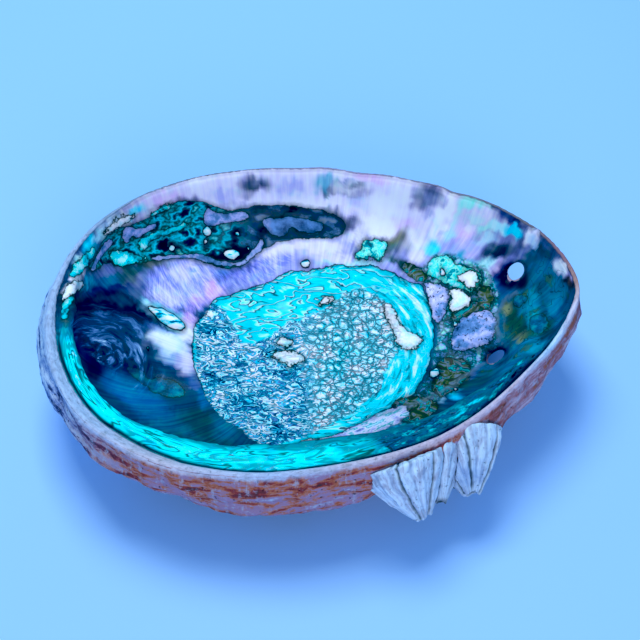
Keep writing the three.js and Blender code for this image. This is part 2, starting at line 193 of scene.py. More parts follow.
# %% Smooth the skin
def apply_modifier(piece, kind, **settings):
    """Adds a modifier, sets it and applies it."""
    select_only(piece)
    modifier = piece.modifiers.new(kind.title(), kind)
    for name, value in settings.items():
        setattr(modifier, name, value)
    bpy.ops.object.modifier_apply(modifier=modifier.name)


apply_modifier(skin, "SUBSURF", levels=2, render_levels=2)
print(counted(skin))

# %% [markdown]
# ## Inside and outside
#
# Each point of the skin belongs to the nacre or to the crust. The nacre's points look towards a place high
# above the bowl's middle, and the crust's look away from it. The line where the two meet is the shell's
# edge, and the distance from it lays out the lip, its groove and the shelf.

# %% Points and normals as arrays
BOWL_VIEWPOINT = np.array((0.0, 5.0, 112.0))


def read_points(piece, key):
    """One vector for each of the piece's points."""
    flat = np.empty(len(piece.data.vertices) * 3)
    piece.data.vertices.foreach_get(key, flat)
    return flat.reshape(-1, 3)


def points_of(piece):
    """The piece's points in millimetres."""
    return read_points(piece, "co") / MM


def normals_of(piece):
    """The unit normals at the piece's points."""
    return read_points(piece, "normal")


def move_points(piece, points):
    """Puts the piece's points at new places, given in millimetres."""
    low, high = (np.array(corner) / MM for corner in CAD_BOX)
    piece.data.vertices.foreach_set("co", (np.clip(points, low, high) * MM).ravel())
    piece.data.update()


def soft_step(value, start, end):
    """0 before start, 1 after end, and a smooth rise between them, in either order."""
    share = np.clip((value - start) / (end - start), 0, 1)
    return share * share * (3 - 2 * share)


def facing_of(piece):
    """Above 0 where a point belongs to the bowl's inside, and below 0 on the crust."""
    return np.sum(normals_of(piece) * (BOWL_VIEWPOINT - points_of(piece)), axis=1)


facing = facing_of(skin)
print("points inside the bowl:", int((facing > 0).sum()), "outside:", int((facing <= 0).sum()))

# %% The drawing
MIDDLE, FOCAL = 320, 640 * LENS / FILM
eye_mm = np.array(eye) / MM
ahead = -np.array(to_eye)
rightwards = np.array((1.0, 0.0, 0.0))
upwards = np.cross(rightwards, ahead)


def on_drawing(points):
    """Where points in millimetres fall on a drawing of 640 by 640 made from the camera."""
    away = points - eye_mm
    depth = away @ ahead
    across = MIDDLE + FOCAL * (away @ rightwards) / depth
    down = MIDDLE - FOCAL * (away @ upwards) / depth
    return np.stack((across, down), axis=1)


print("focal length on the drawing:", round(FOCAL, 1))

# %% [markdown]
# ## Markings as outlines
#
# The nacre shows islands, pools and pearls with edges as sharp as a map's. Each one is drawn as a loose
# outline, as it is seen from the camera, and its corners are cut until it is a smooth curve. What the
# material needs is the distance to the nearest outline, below zero inside it. That distance is even
# enough to stay sharp between the points, so a marking can be finer than the mesh.

# %% Outlines of the large fields
OUTLINES = {
    "band": [
        [(88, 268), (95, 255), (104, 240), (118, 228), (135, 224), (150, 217), (165, 212), (172, 203),
         (190, 200), (203, 203), (215, 207), (235, 212), (255, 207), (275, 205), (300, 206), (325, 210),
         (340, 218), (348, 228), (340, 238), (320, 236), (300, 238), (280, 240), (262, 250), (250, 262),
         (235, 267), (222, 268), (208, 262), (190, 258), (170, 256), (155, 259), (140, 264), (120, 267),
         (108, 262), (100, 270)],
    ],
    "fan": [
        [(140, 295), (150, 262), (175, 257), (205, 262), (225, 268), (260, 255), (290, 245), (300, 262),
         (270, 280), (240, 290), (220, 295), (212, 300), (200, 320), (185, 325), (165, 310), (145, 300)],
    ],
    "scar": [
        [(215, 300), (222, 297), (240, 293), (262, 283), (285, 273), (300, 272), (320, 268), (335, 265),
         (355, 267), (370, 264), (385, 270), (400, 276), (412, 284), (420, 283), (424, 292), (430, 305),
         (434, 320), (434, 340), (430, 360), (422, 385), (405, 400), (385, 410), (360, 425), (330, 436),
         (300, 445), (275, 447), (262, 445), (245, 432), (230, 422), (215, 412), (208, 400), (200, 385),
         (196, 370), (192, 350), (190, 342), (195, 330), (198, 320), (206, 315)],
    ],
    "rough": [
        [(208, 312), (214, 302), (222, 306), (228, 318), (236, 330), (242, 343), (255, 342), (270, 335),
         (286, 322), (300, 318), (320, 310), (335, 300), (345, 292), (360, 288), (375, 290), (385, 300),
         (396, 318), (400, 335), (396, 350), (388, 362), (384, 380), (372, 396), (350, 412), (330, 424),
         (300, 436), (276, 446), (260, 444), (245, 432), (230, 422), (215, 412), (206, 396), (199, 380),
         (196, 360), (194, 342), (196, 326)],
    ],
    "hollow": [
        [(66, 322), (75, 309), (85, 299), (100, 293), (118, 293), (135, 302), (150, 311), (165, 317),
         (182, 327), (176, 334), (160, 334), (148, 336), (146, 350), (156, 362), (178, 374), (200, 383),
         (212, 398), (222, 412), (244, 430), (262, 447), (216, 446), (180, 436), (140, 414), (106, 386),
         (82, 356), (70, 338)],
    ],
    "trough": [
        [(503, 298), (520, 287), (534, 270), (548, 250), (560, 262), (570, 280), (572, 300), (566, 322),
         (548, 340), (520, 358), (490, 374), (466, 386), (448, 396), (450, 386), (466, 374), (482, 364),
         (498, 354), (504, 342), (500, 330), (500, 314)],
    ],
    "mosaic": [
        [(404, 262), (424, 268), (430, 257), (440, 251), (456, 253), (472, 261), (486, 266), (494, 280),
         (501, 296), (498, 312), (497, 330), (501, 344), (494, 357), (478, 366), (466, 376), (448, 390),
         (436, 402), (428, 412), (404, 424), (384, 426), (386, 410), (398, 402), (412, 396), (424, 384),
         (432, 366), (436, 340), (438, 325), (430, 300), (421, 282)],
    ],
    "pink_bank": [
        [(292, 448), (312, 441), (330, 437), (350, 429), (372, 418), (392, 408), (406, 404), (410, 414),
         (384, 430), (352, 441), (322, 449)],
    ],
}
print("large fields:", len(OUTLINES))

# %% Outlines of the islands and pearls
OUTLINES.update({
    "grey_isle": [
        [(90, 270), (96, 256), (108, 240), (113, 238), (112, 246), (102, 258), (96, 270)],
        [(122, 235), (126, 226), (132, 224), (136, 230), (150, 226), (158, 224), (158, 230), (148, 232),
         (140, 238), (134, 236), (130, 240), (126, 246)],
        [(202, 222), (206, 210), (210, 209), (216, 214), (228, 213), (240, 212), (250, 215), (245, 222),
         (235, 222), (222, 222), (214, 228), (205, 226)],
        [(262, 222), (270, 216), (280, 220), (290, 216), (300, 217), (310, 220), (322, 222), (322, 230),
         (315, 232), (305, 232), (300, 232), (292, 226), (288, 233), (280, 236), (270, 234)],
        [(150, 258), (170, 253), (200, 254), (225, 261), (240, 262), (255, 250), (262, 238), (266, 246),
         (252, 262), (234, 267), (210, 262), (180, 257), (156, 260)],
    ],
    "teal_isle": [
        [(108, 257), (112, 252), (122, 250), (130, 252), (140, 258), (150, 255), (140, 262), (128, 267),
         (115, 265)],
        [(138, 242), (150, 235), (162, 231), (178, 227), (185, 221), (190, 226), (180, 232), (166, 236),
         (152, 240), (146, 250), (140, 250)],
        [(70, 276), (74, 266), (82, 256), (92, 246), (96, 250), (90, 258), (86, 268), (78, 276)],
        [(60, 318), (62, 304), (68, 296), (74, 300), (68, 310), (66, 322)],
        [(150, 211), (160, 206), (170, 203), (172, 208), (160, 212), (150, 216)],
        [(352, 256), (362, 250), (362, 243), (372, 240), (385, 243), (388, 240), (386, 252), (380, 262),
         (370, 258), (360, 262)],
        [(424, 276), (428, 268), (430, 260), (436, 256), (450, 255), (455, 262), (462, 265), (470, 267),
         (478, 270), (483, 277), (478, 287), (470, 293), (460, 289), (447, 283), (434, 278)],
    ],
    "teal_pool": [
        [(124, 368), (134, 367), (145, 372), (150, 380), (160, 376), (165, 380), (175, 382), (186, 391),
         (182, 397), (165, 397), (150, 388), (138, 379)],
        [(529, 318), (538, 311), (546, 314), (549, 324), (541, 334), (531, 330)],
        [(512, 300), (520, 292), (528, 296), (524, 304), (516, 308)],
    ],
    "pearl": [
        [(148, 308), (152, 305), (165, 311), (176, 316), (184, 325), (185, 331), (177, 330), (168, 327),
         (160, 320), (153, 314)],
        [(204, 228), (208, 226), (212, 230), (211, 236), (206, 237), (203, 233)],
        [(203, 240), (206, 239), (208, 242), (206, 245), (203, 244)],
        [(168, 247), (173, 244), (177, 247), (174, 251), (169, 251)],
        [(222, 252), (229, 249), (238, 251), (239, 256), (231, 259), (224, 257)],
        [(246, 246), (249, 246), (250, 250), (247, 251)],
        [(235, 232), (239, 231), (240, 235), (236, 236)],
        [(302, 262), (306, 259), (311, 261), (310, 267), (304, 269), (301, 266)],
        [(440, 270), (444, 269), (446, 273), (443, 277), (440, 275)],
        [(145, 349), (148, 347), (151, 350), (148, 353)],
        [(452, 322), (456, 319), (459, 324), (454, 328)],
        [(429, 372), (436, 368), (441, 373), (436, 378), (430, 377)],
        [(452, 388), (455, 386), (458, 389), (455, 392)],
    ],
    "cream": [
        [(60, 300), (64, 290), (72, 283), (80, 280), (84, 285), (76, 291), (70, 296), (64, 303)],
        [(103, 233), (111, 223), (124, 215), (137, 212), (130, 220), (120, 227), (110, 234)],
        [(276, 339), (284, 335), (292, 338), (290, 344), (280, 345)],
        [(318, 300), (326, 296), (334, 297), (330, 303), (321, 304)],
        [(272, 350), (285, 350), (305, 352), (303, 360), (296, 362), (290, 368), (284, 360), (276, 358)],
        [(383, 302), (390, 303), (396, 312), (398, 320), (406, 327), (416, 331), (424, 337), (418, 345),
         (402, 347), (394, 340), (391, 326), (386, 314)],
        [(457, 277), (462, 272), (470, 269), (478, 272), (480, 280), (476, 285), (474, 290), (468, 288),
         (462, 283)],
        [(300, 440), (312, 437), (320, 440), (314, 446), (302, 446)],
        [(448, 290), (458, 288), (468, 293), (472, 301), (463, 308), (452, 313), (449, 304), (453, 297)],
    ],
    "lilac_isle": [
        [(422, 281), (430, 282), (438, 284), (446, 287), (452, 290), (453, 296), (448, 303), (447, 312),
         (442, 322), (438, 325), (434, 318), (430, 305), (426, 293)],
        [(452, 330), (460, 319), (475, 312), (490, 308), (496, 318), (496, 330), (492, 341), (480, 346),
         (465, 350), (455, 352), (450, 345)],
    ],
    "brown_pool": [
        [(475, 290), (482, 285), (490, 287), (494, 295), (492, 305), (485, 310), (480, 305)],
        [(450, 315), (462, 305), (475, 298), (482, 305), (478, 312), (465, 318), (452, 325)],
        [(388, 412), (395, 402), (408, 394), (425, 396), (440, 408), (430, 418), (410, 422), (395, 420)],
        [(436, 362), (450, 356), (466, 360), (474, 370), (462, 382), (450, 394), (438, 398), (430, 386),
         (440, 374)],
        [(398, 266), (410, 262), (424, 270), (424, 282), (410, 278)],
    ],
    "pocket": [
        [(158, 243), (168, 239), (184, 241), (188, 247), (178, 252), (164, 251)],
        [(200, 244), (208, 238), (213, 246), (207, 253), (201, 250)],
        [(254, 232), (262, 226), (270, 231), (267, 240), (258, 241)],
        [(220, 249), (232, 245), (246, 246), (252, 252), (244, 260), (228, 263), (219, 257)],
        [(496, 276), (502, 268), (512, 264), (522, 266), (528, 276), (524, 288), (512, 290), (502, 286)],
        [(486, 352), (498, 344), (508, 350), (506, 362), (494, 368), (484, 362)],
    ],
})

# %% Distance to an outline
PIXEL = 0.385  # millimetres to one unit of the drawing, about the bowl's middle
REACH = 14.0  # distances are measured no further than this
CORNER_CUTS = 2


def rounded(outline):
    """The closed outline with its corners cut, so that it curves."""
    line = np.array(outline, float)
    for _ in range(CORNER_CUTS):
        after = np.roll(line, -1, axis=0)
        line = np.stack((line * 0.75 + after * 0.25, line * 0.25 + after * 0.75), axis=1).reshape(-1, 2)
    return line


def to_segments(spots, start, end):
    """Millimetres from each spot of the drawing to the nearest of several straight lines."""
    here = spots[:, None, :]
    side = end - start
    share = np.sum((here - start) * side, axis=2) / np.sum(side * side, axis=1)
    gap = here - start - np.clip(share, 0, 1)[..., None] * side
    return np.sqrt(np.sum(gap * gap, axis=2).min(axis=1)) * PIXEL


def distance_to(outline, spots):
    """Millimetres from each spot of the drawing to the outline, below zero inside it."""
    start = rounded(outline)
    end = np.roll(start, -1, axis=0)
    margin = REACH / PIXEL
    result = np.full(len(spots), REACH)
    near = np.all((spots > start.min(0) - margin) & (spots < start.max(0) + margin), axis=1)
    if not near.any():
        return result
    here = spots[near][:, None, :]
    side = end - start
    away = to_segments(spots[near], start, end)
    above = (start[:, 1] > here[..., 1]) != (end[:, 1] > here[..., 1])
    rise = np.where(side[:, 1] == 0, 1e-9, side[:, 1])
    crossing = start[:, 0] + (here[..., 1] - start[:, 1]) * side[:, 0] / rise
    within = (above & (here[..., 0] < crossing)).sum(axis=1) % 2 == 1
    result[near] = np.minimum(np.where(within, -away, away), REACH)
    return result


def distance_to_all(outlines, spots):
    """Millimetres to the nearest of several outlines."""
    return np.min([distance_to(outline, spots) for outline in outlines], axis=0)


print("outlines:", {name: len(outlines) for name, outlines in OUTLINES.items()})

# %% Divide the scar's cells once more
spots = on_drawing(points_of(skin))
in_scar = (distance_to_all(OUTLINES["scar"], spots) < 1.0) & (facing > 0)
for parts in (skin.data.edges, skin.data.vertices):
    parts.foreach_set("select", np.zeros(len(parts), bool))
for face in skin.data.polygons:
    face.select = all(in_scar[corner] for corner in face.vertices)
    if face.select:
        for corner in face.vertices:
            skin.data.vertices[corner].select = True
select_only(skin)
bpy.ops.object.mode_set(mode="EDIT")
bpy.ops.mesh.select_mode(type="FACE")
bpy.ops.mesh.subdivide(number_cuts=1, smoothness=0)
bpy.ops.object.mode_set(mode="OBJECT")
print(counted(skin))

# %% Fields on the final points
bare_points = points_of(skin)
bare_normals = normals_of(skin)
facing = facing_of(skin)
inner = facing > 0
spots = on_drawing(bare_points)

SHELL_MIDDLE = np.array((-6.1, -4.7))
HOLE_PLACES = np.array(((81.9, 35.4), (72.9, 5.4)))
EDGE_LOWEST = 39.0
HOLE_CLEARANCE = 8

ends = np.empty(len(skin.data.edges) * 2, int)
skin.data.edges.foreach_get("vertices", ends)
first, second = ends.reshape(-1, 2).T
crossed = np.flatnonzero((facing[first] > 0) != (facing[second] > 0))
first, second = first[crossed], second[crossed]
share = (facing[first] / (facing[first] - facing[second]))[:, None]
edge_points = bare_points[first] * (1 - share) + bare_points[second] * share
to_holes = np.linalg.norm(edge_points[:, None, :2] - HOLE_PLACES, axis=2).min(axis=1)
edge_points = edge_points[(edge_points[:, 2] > EDGE_LOWEST) & (to_holes > HOLE_CLEARANCE)]
tree = kdtree.KDTree(len(edge_points))
for index, place in enumerate(edge_points):
    tree.insert(place, index)
tree.balance()
from_edge = np.array([tree.find(place)[2] for place in bare_points])
print("edge points:", len(edge_points), "deepest point from the edge:", round(float(from_edge.max()), 1))

# %% Directions about the middle
SHELF_WIDTHS = [(-180, 11), (-165, 12.5), (-150, 16), (-130, 18), (-115, 17),
                (-100, 14.8), (-80, 12.4), (-55, 11.8), (-35, 10.5),
                (-15, 7.5), (3, 2.5), (20, 0.01), (140, 0.01), (160, 6), (180, 11)]
LIP_WIDTHS = [(-180, 3.4), (-150, 5.0), (-125, 4.4), (-100, 2.4), (-60, 2.0), (-10, 2.0), (20, 1.5),
              (50, 1.0), (135, 1.0), (160, 2.2), (180, 3.4)]

from_middle = bare_points[:, :2] - SHELL_MIDDLE
direction = np.degrees(np.arctan2(from_middle[:, 1], from_middle[:, 0]))
shelf_width = np.interp(direction, *zip(*SHELF_WIDTHS))
lip_width = np.interp(direction, *zip(*LIP_WIDTHS))
across_shelf = (from_edge - lip_width) / np.maximum(shelf_width - lip_width, 0.5)
has_shelf = soft_step(shelf_width, 2.5, 6)


def wavy(points, size, seed=0.0):
    """Smooth noise from -1 to 1 whose waves are about size millimetres across."""
    offset = np.array((seed * 17.3, seed * -9.1, seed * 5.7))
    return np.array([noise.noise(place) for place in points / size + offset])


def round_way(turn, radius, along):
    """Places on a rolled-up sheet: the first two numbers go round with the angle, the third goes along."""
    return np.stack((radius * np.cos(turn), radius * np.sin(turn), along), axis=1)


ROUND_SIZE = 80.0
growth = round_way(np.radians(direction), ROUND_SIZE, from_edge)
print("widest shelf:", round(float(shelf_width.max()), 1), "mm")

# %% [markdown]
# ## Distances for the material
#
# A living edge is never as smooth as a drawn curve, so the drawing is shaken a little before the
# distances are taken. The relief and the colours then follow the same shaken outlines.

# %% Shaken drawing
SHAKE = 1.5
shaken = spots.copy()
for axis, seed in enumerate((1, 3)):
    shaken[:, axis] += SHAKE * wavy(bare_points, 3.4, seed) + 1.6 * SHAKE * wavy(bare_points, 9, seed + 1)

distances = {}
for field_name, outlines in OUTLINES.items():
    distances[field_name] = np.where(inner, distance_to_all(outlines, shaken), REACH)
print("fields:", {name: int((values < 0).sum()) for name, values in distances.items()})

# %% [markdown]
# ## Relief of the nacre
#
# Nacre is laid down in sheets. A worn or worm-bitten place is healed over from its edges, which leaves
# steps, raised islands and round blisters. Sculpting them by hand would be slow and uneven, so each form
# is a height above the smooth skin, in tenths of a millimetre, and all of them are added up.

# %% Heights inside
def swell_of(name, height, edge):
    """A raised or sunk field: its full height inside the outline, with an edge that wide."""
    return height * soft_step(distances[name], 0.4 * edge, -edge)


SWELLS = [
    # field, height, width of its edge
    ("band", -0.45, 1.2), ("grey_isle", 0.4, 0.6), ("teal_isle", 0.55, 0.8), ("cream", 0.45, 0.7),
    ("lilac_isle", 0.9, 2.4), ("brown_pool", -0.3, 0.8), ("pocket", -0.6, 1.4), ("pink_bank", 0.4, 1.5),
    ("pearl", 1.0, 1.1), ("teal_pool", 0.3, 0.6), ("hollow", -0.5, 2.0), ("trough", -0.5, 2.0),
    ("mosaic", -0.3, 1.2),
]
height = sum(swell_of(*swell) for swell in SWELLS)

TERRACE_STEP, TERRACE_WIDTH = 0.32, 2.3
scar_depth = -distances["scar"] + 1.1 * wavy(bare_points, 5, 5)
terraces = sum(soft_step(scar_depth, step * TERRACE_WIDTH - 0.25, step * TERRACE_WIDTH + 0.25)
               for step in range(4))
roughness = soft_step(distances["rough"], 0.5, -1.5)
height -= TERRACE_STEP * terraces
height += roughness * (0.34 * wavy(bare_points, 2.6, 6) + 0.2 * wavy(bare_points, 1.3, 7))


def polar_about(spot, stretch=(1.0, 1.0)):
    """The angle round a spot of the drawing, and the millimetres from it."""
    off = (spots - np.array(spot)) * stretch * PIXEL
    return np.arctan2(off[:, 1], off[:, 0]), np.linalg.norm(off, axis=1)


FAN_STREAKS, FAN_PIVOT = 0.14, (140, 190)
in_fan = soft_step(distances["fan"], 2, -3)
fan_turn, from_pivot = polar_about(FAN_PIVOT)
fan_turn = fan_turn + 0.03 * wavy(bare_points, 8, 24)
fan_way = np.stack((fan_turn * 40, from_pivot * 0.14, fan_turn * 0), axis=1)
height += FAN_STREAKS * in_fan * wavy(fan_way, 1.4, 8)
print("nacre relief from", round(float(height.min()), 2), "to", round(float(height.max()), 2), "mm")

# %% The spire's swirl, the brow over it and the ridge by the holes
SPIRE_SPOT = (97, 360)
swirl_turn, from_spire = polar_about(SPIRE_SPOT, (0.8, 1.0))
swirl = from_spire + 2.4 * wavy(bare_points, 12, 9) + 0.7 * wavy(bare_points, 4, 25)
swirl_way = np.stack((swirl, 12 * np.cos(swirl_turn) * 0.3, 12 * np.sin(swirl_turn) * 0.3), axis=1)
in_hollow = soft_step(distances["hollow"], 1, -3)
height += in_hollow * 0.1 * wavy(swirl_way, 1.9, 10)


def near_line(line, width):
    """1 on an open line of the drawing, falling to 0 at that many millimetres from it."""
    away = to_segments(shaken, np.array(line[:-1], float), np.array(line[1:], float))
    return np.where(inner, soft_step(away, width, 0), 0)


HOLE_RIDGE = [(517, 292), (505, 300), (498, 312), (496, 325), (499, 340), (506, 346)]
BROW = [(68, 316), (76, 308), (86, 299), (100, 293), (118, 293), (135, 302), (150, 311), (165, 317),
        (184, 328)]
FLOOR_RIDGE = [(498, 360), (480, 366), (464, 376), (446, 388), (424, 399), (396, 410), (372, 420)]
brow = near_line(BROW, 1.8)
ridge = np.maximum(near_line(HOLE_RIDGE, 1.3), near_line(FLOOR_RIDGE, 1.2))
height += 0.55 * brow + 0.7 * ridge
print("points on the brow and the ridges:", int((brow + ridge > 0).sum()))

# %% The lip, its groove and the shelf
GROOVE_DEPTH, GROOVE_WIDTH = 0.75, 1.3
groove = np.exp(-((from_edge - lip_width - 0.4) / GROOVE_WIDTH) ** 2)
shelf_band = has_shelf * soft_step(across_shelf, -0.05, 0.12) * soft_step(across_shelf, 1.15, 0.9)
lobes = wavy(growth * (1, 1, 0.9), 8, 11) + 0.5 * wavy(growth, 3.5, 12)
height += np.where(inner, shelf_band * 0.35 * soft_step(lobes, -0.1, 0.12), 0)
height -= np.where(inner, GROOVE_DEPTH * has_shelf * groove, 0)
nacre_height = np.where(inner, height, 0)
print("points on the shelf:", int((inner & (shelf_band > 0.5)).sum()))

# %% [markdown]
# ## Relief of the crust
#
# Outside, the shell shows the edges of its yearly growth as overlapping ledges along the lip. Worms,
# sponges and tube snails have roughened them, and the sea has worn the foot that it lies on flat again.

# %% Heights outside
LEDGE_SPACING = 5.2
ledge_phase = from_edge + 3.2 * wavy(growth * (1, 1, 0.2), 26, 13) + wavy(growth * (1, 1, 0.3), 7, 14)
ledge = ledge_phase / LEDGE_SPACING
ledge -= np.floor(ledge)
crust = 0.55 * (1 - ledge) * soft_step(ledge, 0, 0.12)
crust += 0.75 * wavy(bare_points, 13, 15) + 0.42 * wavy(bare_points, 5.5, 16)
crust += 0.3 * wavy(bare_points, 2.7, 17) + 0.3 * wavy(growth * (1, 1, 0.12), 3.2, 18)
pitted = wavy(bare_points, 3.1, 19)
crust -= 0.8 * soft_step(pitted, 0.45, 0.7)
off_foot = soft_step(bare_points[:, 2], 0.6, 4.0)
off_lip = soft_step(from_edge, 0.3, 3.5)
crust_height = np.where(inner, 0, crust * off_foot * off_lip)
hole_gap = np.linalg.norm(bare_points[:, None, :2] - HOLE_PLACES, axis=2)
near_hole = soft_step(hole_gap.min(axis=1), 4.5, 7)
relief = (nacre_height + crust_height) * near_hole
carved = bare_points + bare_normals * relief[:, None]

# %% Lean the open holes as the water flowed through them
WALL_THICKNESS = 5.5
HOLE_RIM, HOLE_LINING, HOLE_WALL, LEAN_REACH = 4.5, 5.5, 8, 10  # millimetres from a hole's middle
straight_down = np.array((0.0, 0.0, -1.0))
for index, place in enumerate(HOLE_PLACES):
    gap = hole_gap[:, index]
    wall = bare_normals[(gap < HOLE_WALL) & (gap > HOLE_RIM) & inner].mean(axis=0)
    wall /= np.linalg.norm(wall)
    lining = bare_points[(gap < HOLE_LINING) & inner].mean(axis=0)
    sunk = np.clip((lining - bare_points) @ wall, 0, WALL_THICKNESS)
    lean = ahead / -(ahead @ wall) - straight_down / -(straight_down @ wall)
    weight = soft_step(gap, LEAN_REACH, LEAN_REACH / 2) * (bare_points[:, 2] < EDGE_LOWEST)
    carved += (weight * sunk)[:, None] * lean
    print("hole", index, "faces", np.round(wall, 2), "leans", np.round(lean, 2))
move_points(skin, carved)
select_only(skin)
bpy.ops.object.shade_smooth()
print("crust relief from", round(float(crust_height.min()), 2), "to", round(float(crust_height.max()), 2))

# %% [markdown]
# ## Washes of colour
#
# Between its islands the nacre changes colour slowly, from lilac and pearl on the high back wall to sea
# green and ink in the depths. These are laid on like washes of watercolour: soft ovals on the drawing, one
# over the other, each with a colour from one small palette. A few washes are painted light instead:
# white highlights, sheen and a reflection on the nacre, and painted shadow under the brow and the band.

# %% Palette
PALETTE = {
    "lilac": (0.5, 0.52, 0.88), "pale_lilac": (0.86, 0.8, 1.0), "pearl_white": (1.0, 0.98, 1.0),
    "rose": (0.86, 0.58, 0.9), "ice": (0.5, 0.97, 1.0), "mint": (0.36, 0.95, 0.75),
    "cyan": (0.0, 0.76, 0.92), "aqua": (0.0, 0.86, 0.78), "turquoise": (0.0, 0.47, 0.5),
    "sea": (0.0, 0.16, 0.2), "azure": (0.0, 0.17, 0.3), "frost": (0.55, 0.8, 1.0),
    "deep_sea": (0.0, 0.07, 0.1), "ink": (0.0, 0.005, 0.02), "navy": (0.0, 0.02, 0.085),
    "slate": (0.02, 0.06, 0.15), "steel": (0.08, 0.18, 0.36), "haze": (0.16, 0.32, 0.62),
    "grey": (0.2, 0.26, 0.34),
    "smoke": (0.035, 0.075, 0.085), "bottle": (0.0, 0.07, 0.06), "moss": (0.02, 0.08, 0.035),
    "olive": (0.1, 0.14, 0.03), "gold": (0.45, 0.46, 0.13), "bark": (0.07, 0.05, 0.035),
    "cloud": (0.36, 0.42, 0.54), "sand": (0.5, 0.4, 0.42), "blush": (0.55, 0.37, 0.4),
    "rust": (0.42, 0.15, 0.07), "brick": (0.25, 0.045, 0.04), "mauve": (0.3, 0.2, 0.3),
    "shell_pink": (0.6, 0.45, 0.48), "chalk_white": (0.5, 0.66, 0.8), "bone_white": (0.62, 0.8, 0.95),
    "umber": (0.09, 0.045, 0.04),
}
print("palette:", len(PALETTE), "colours")

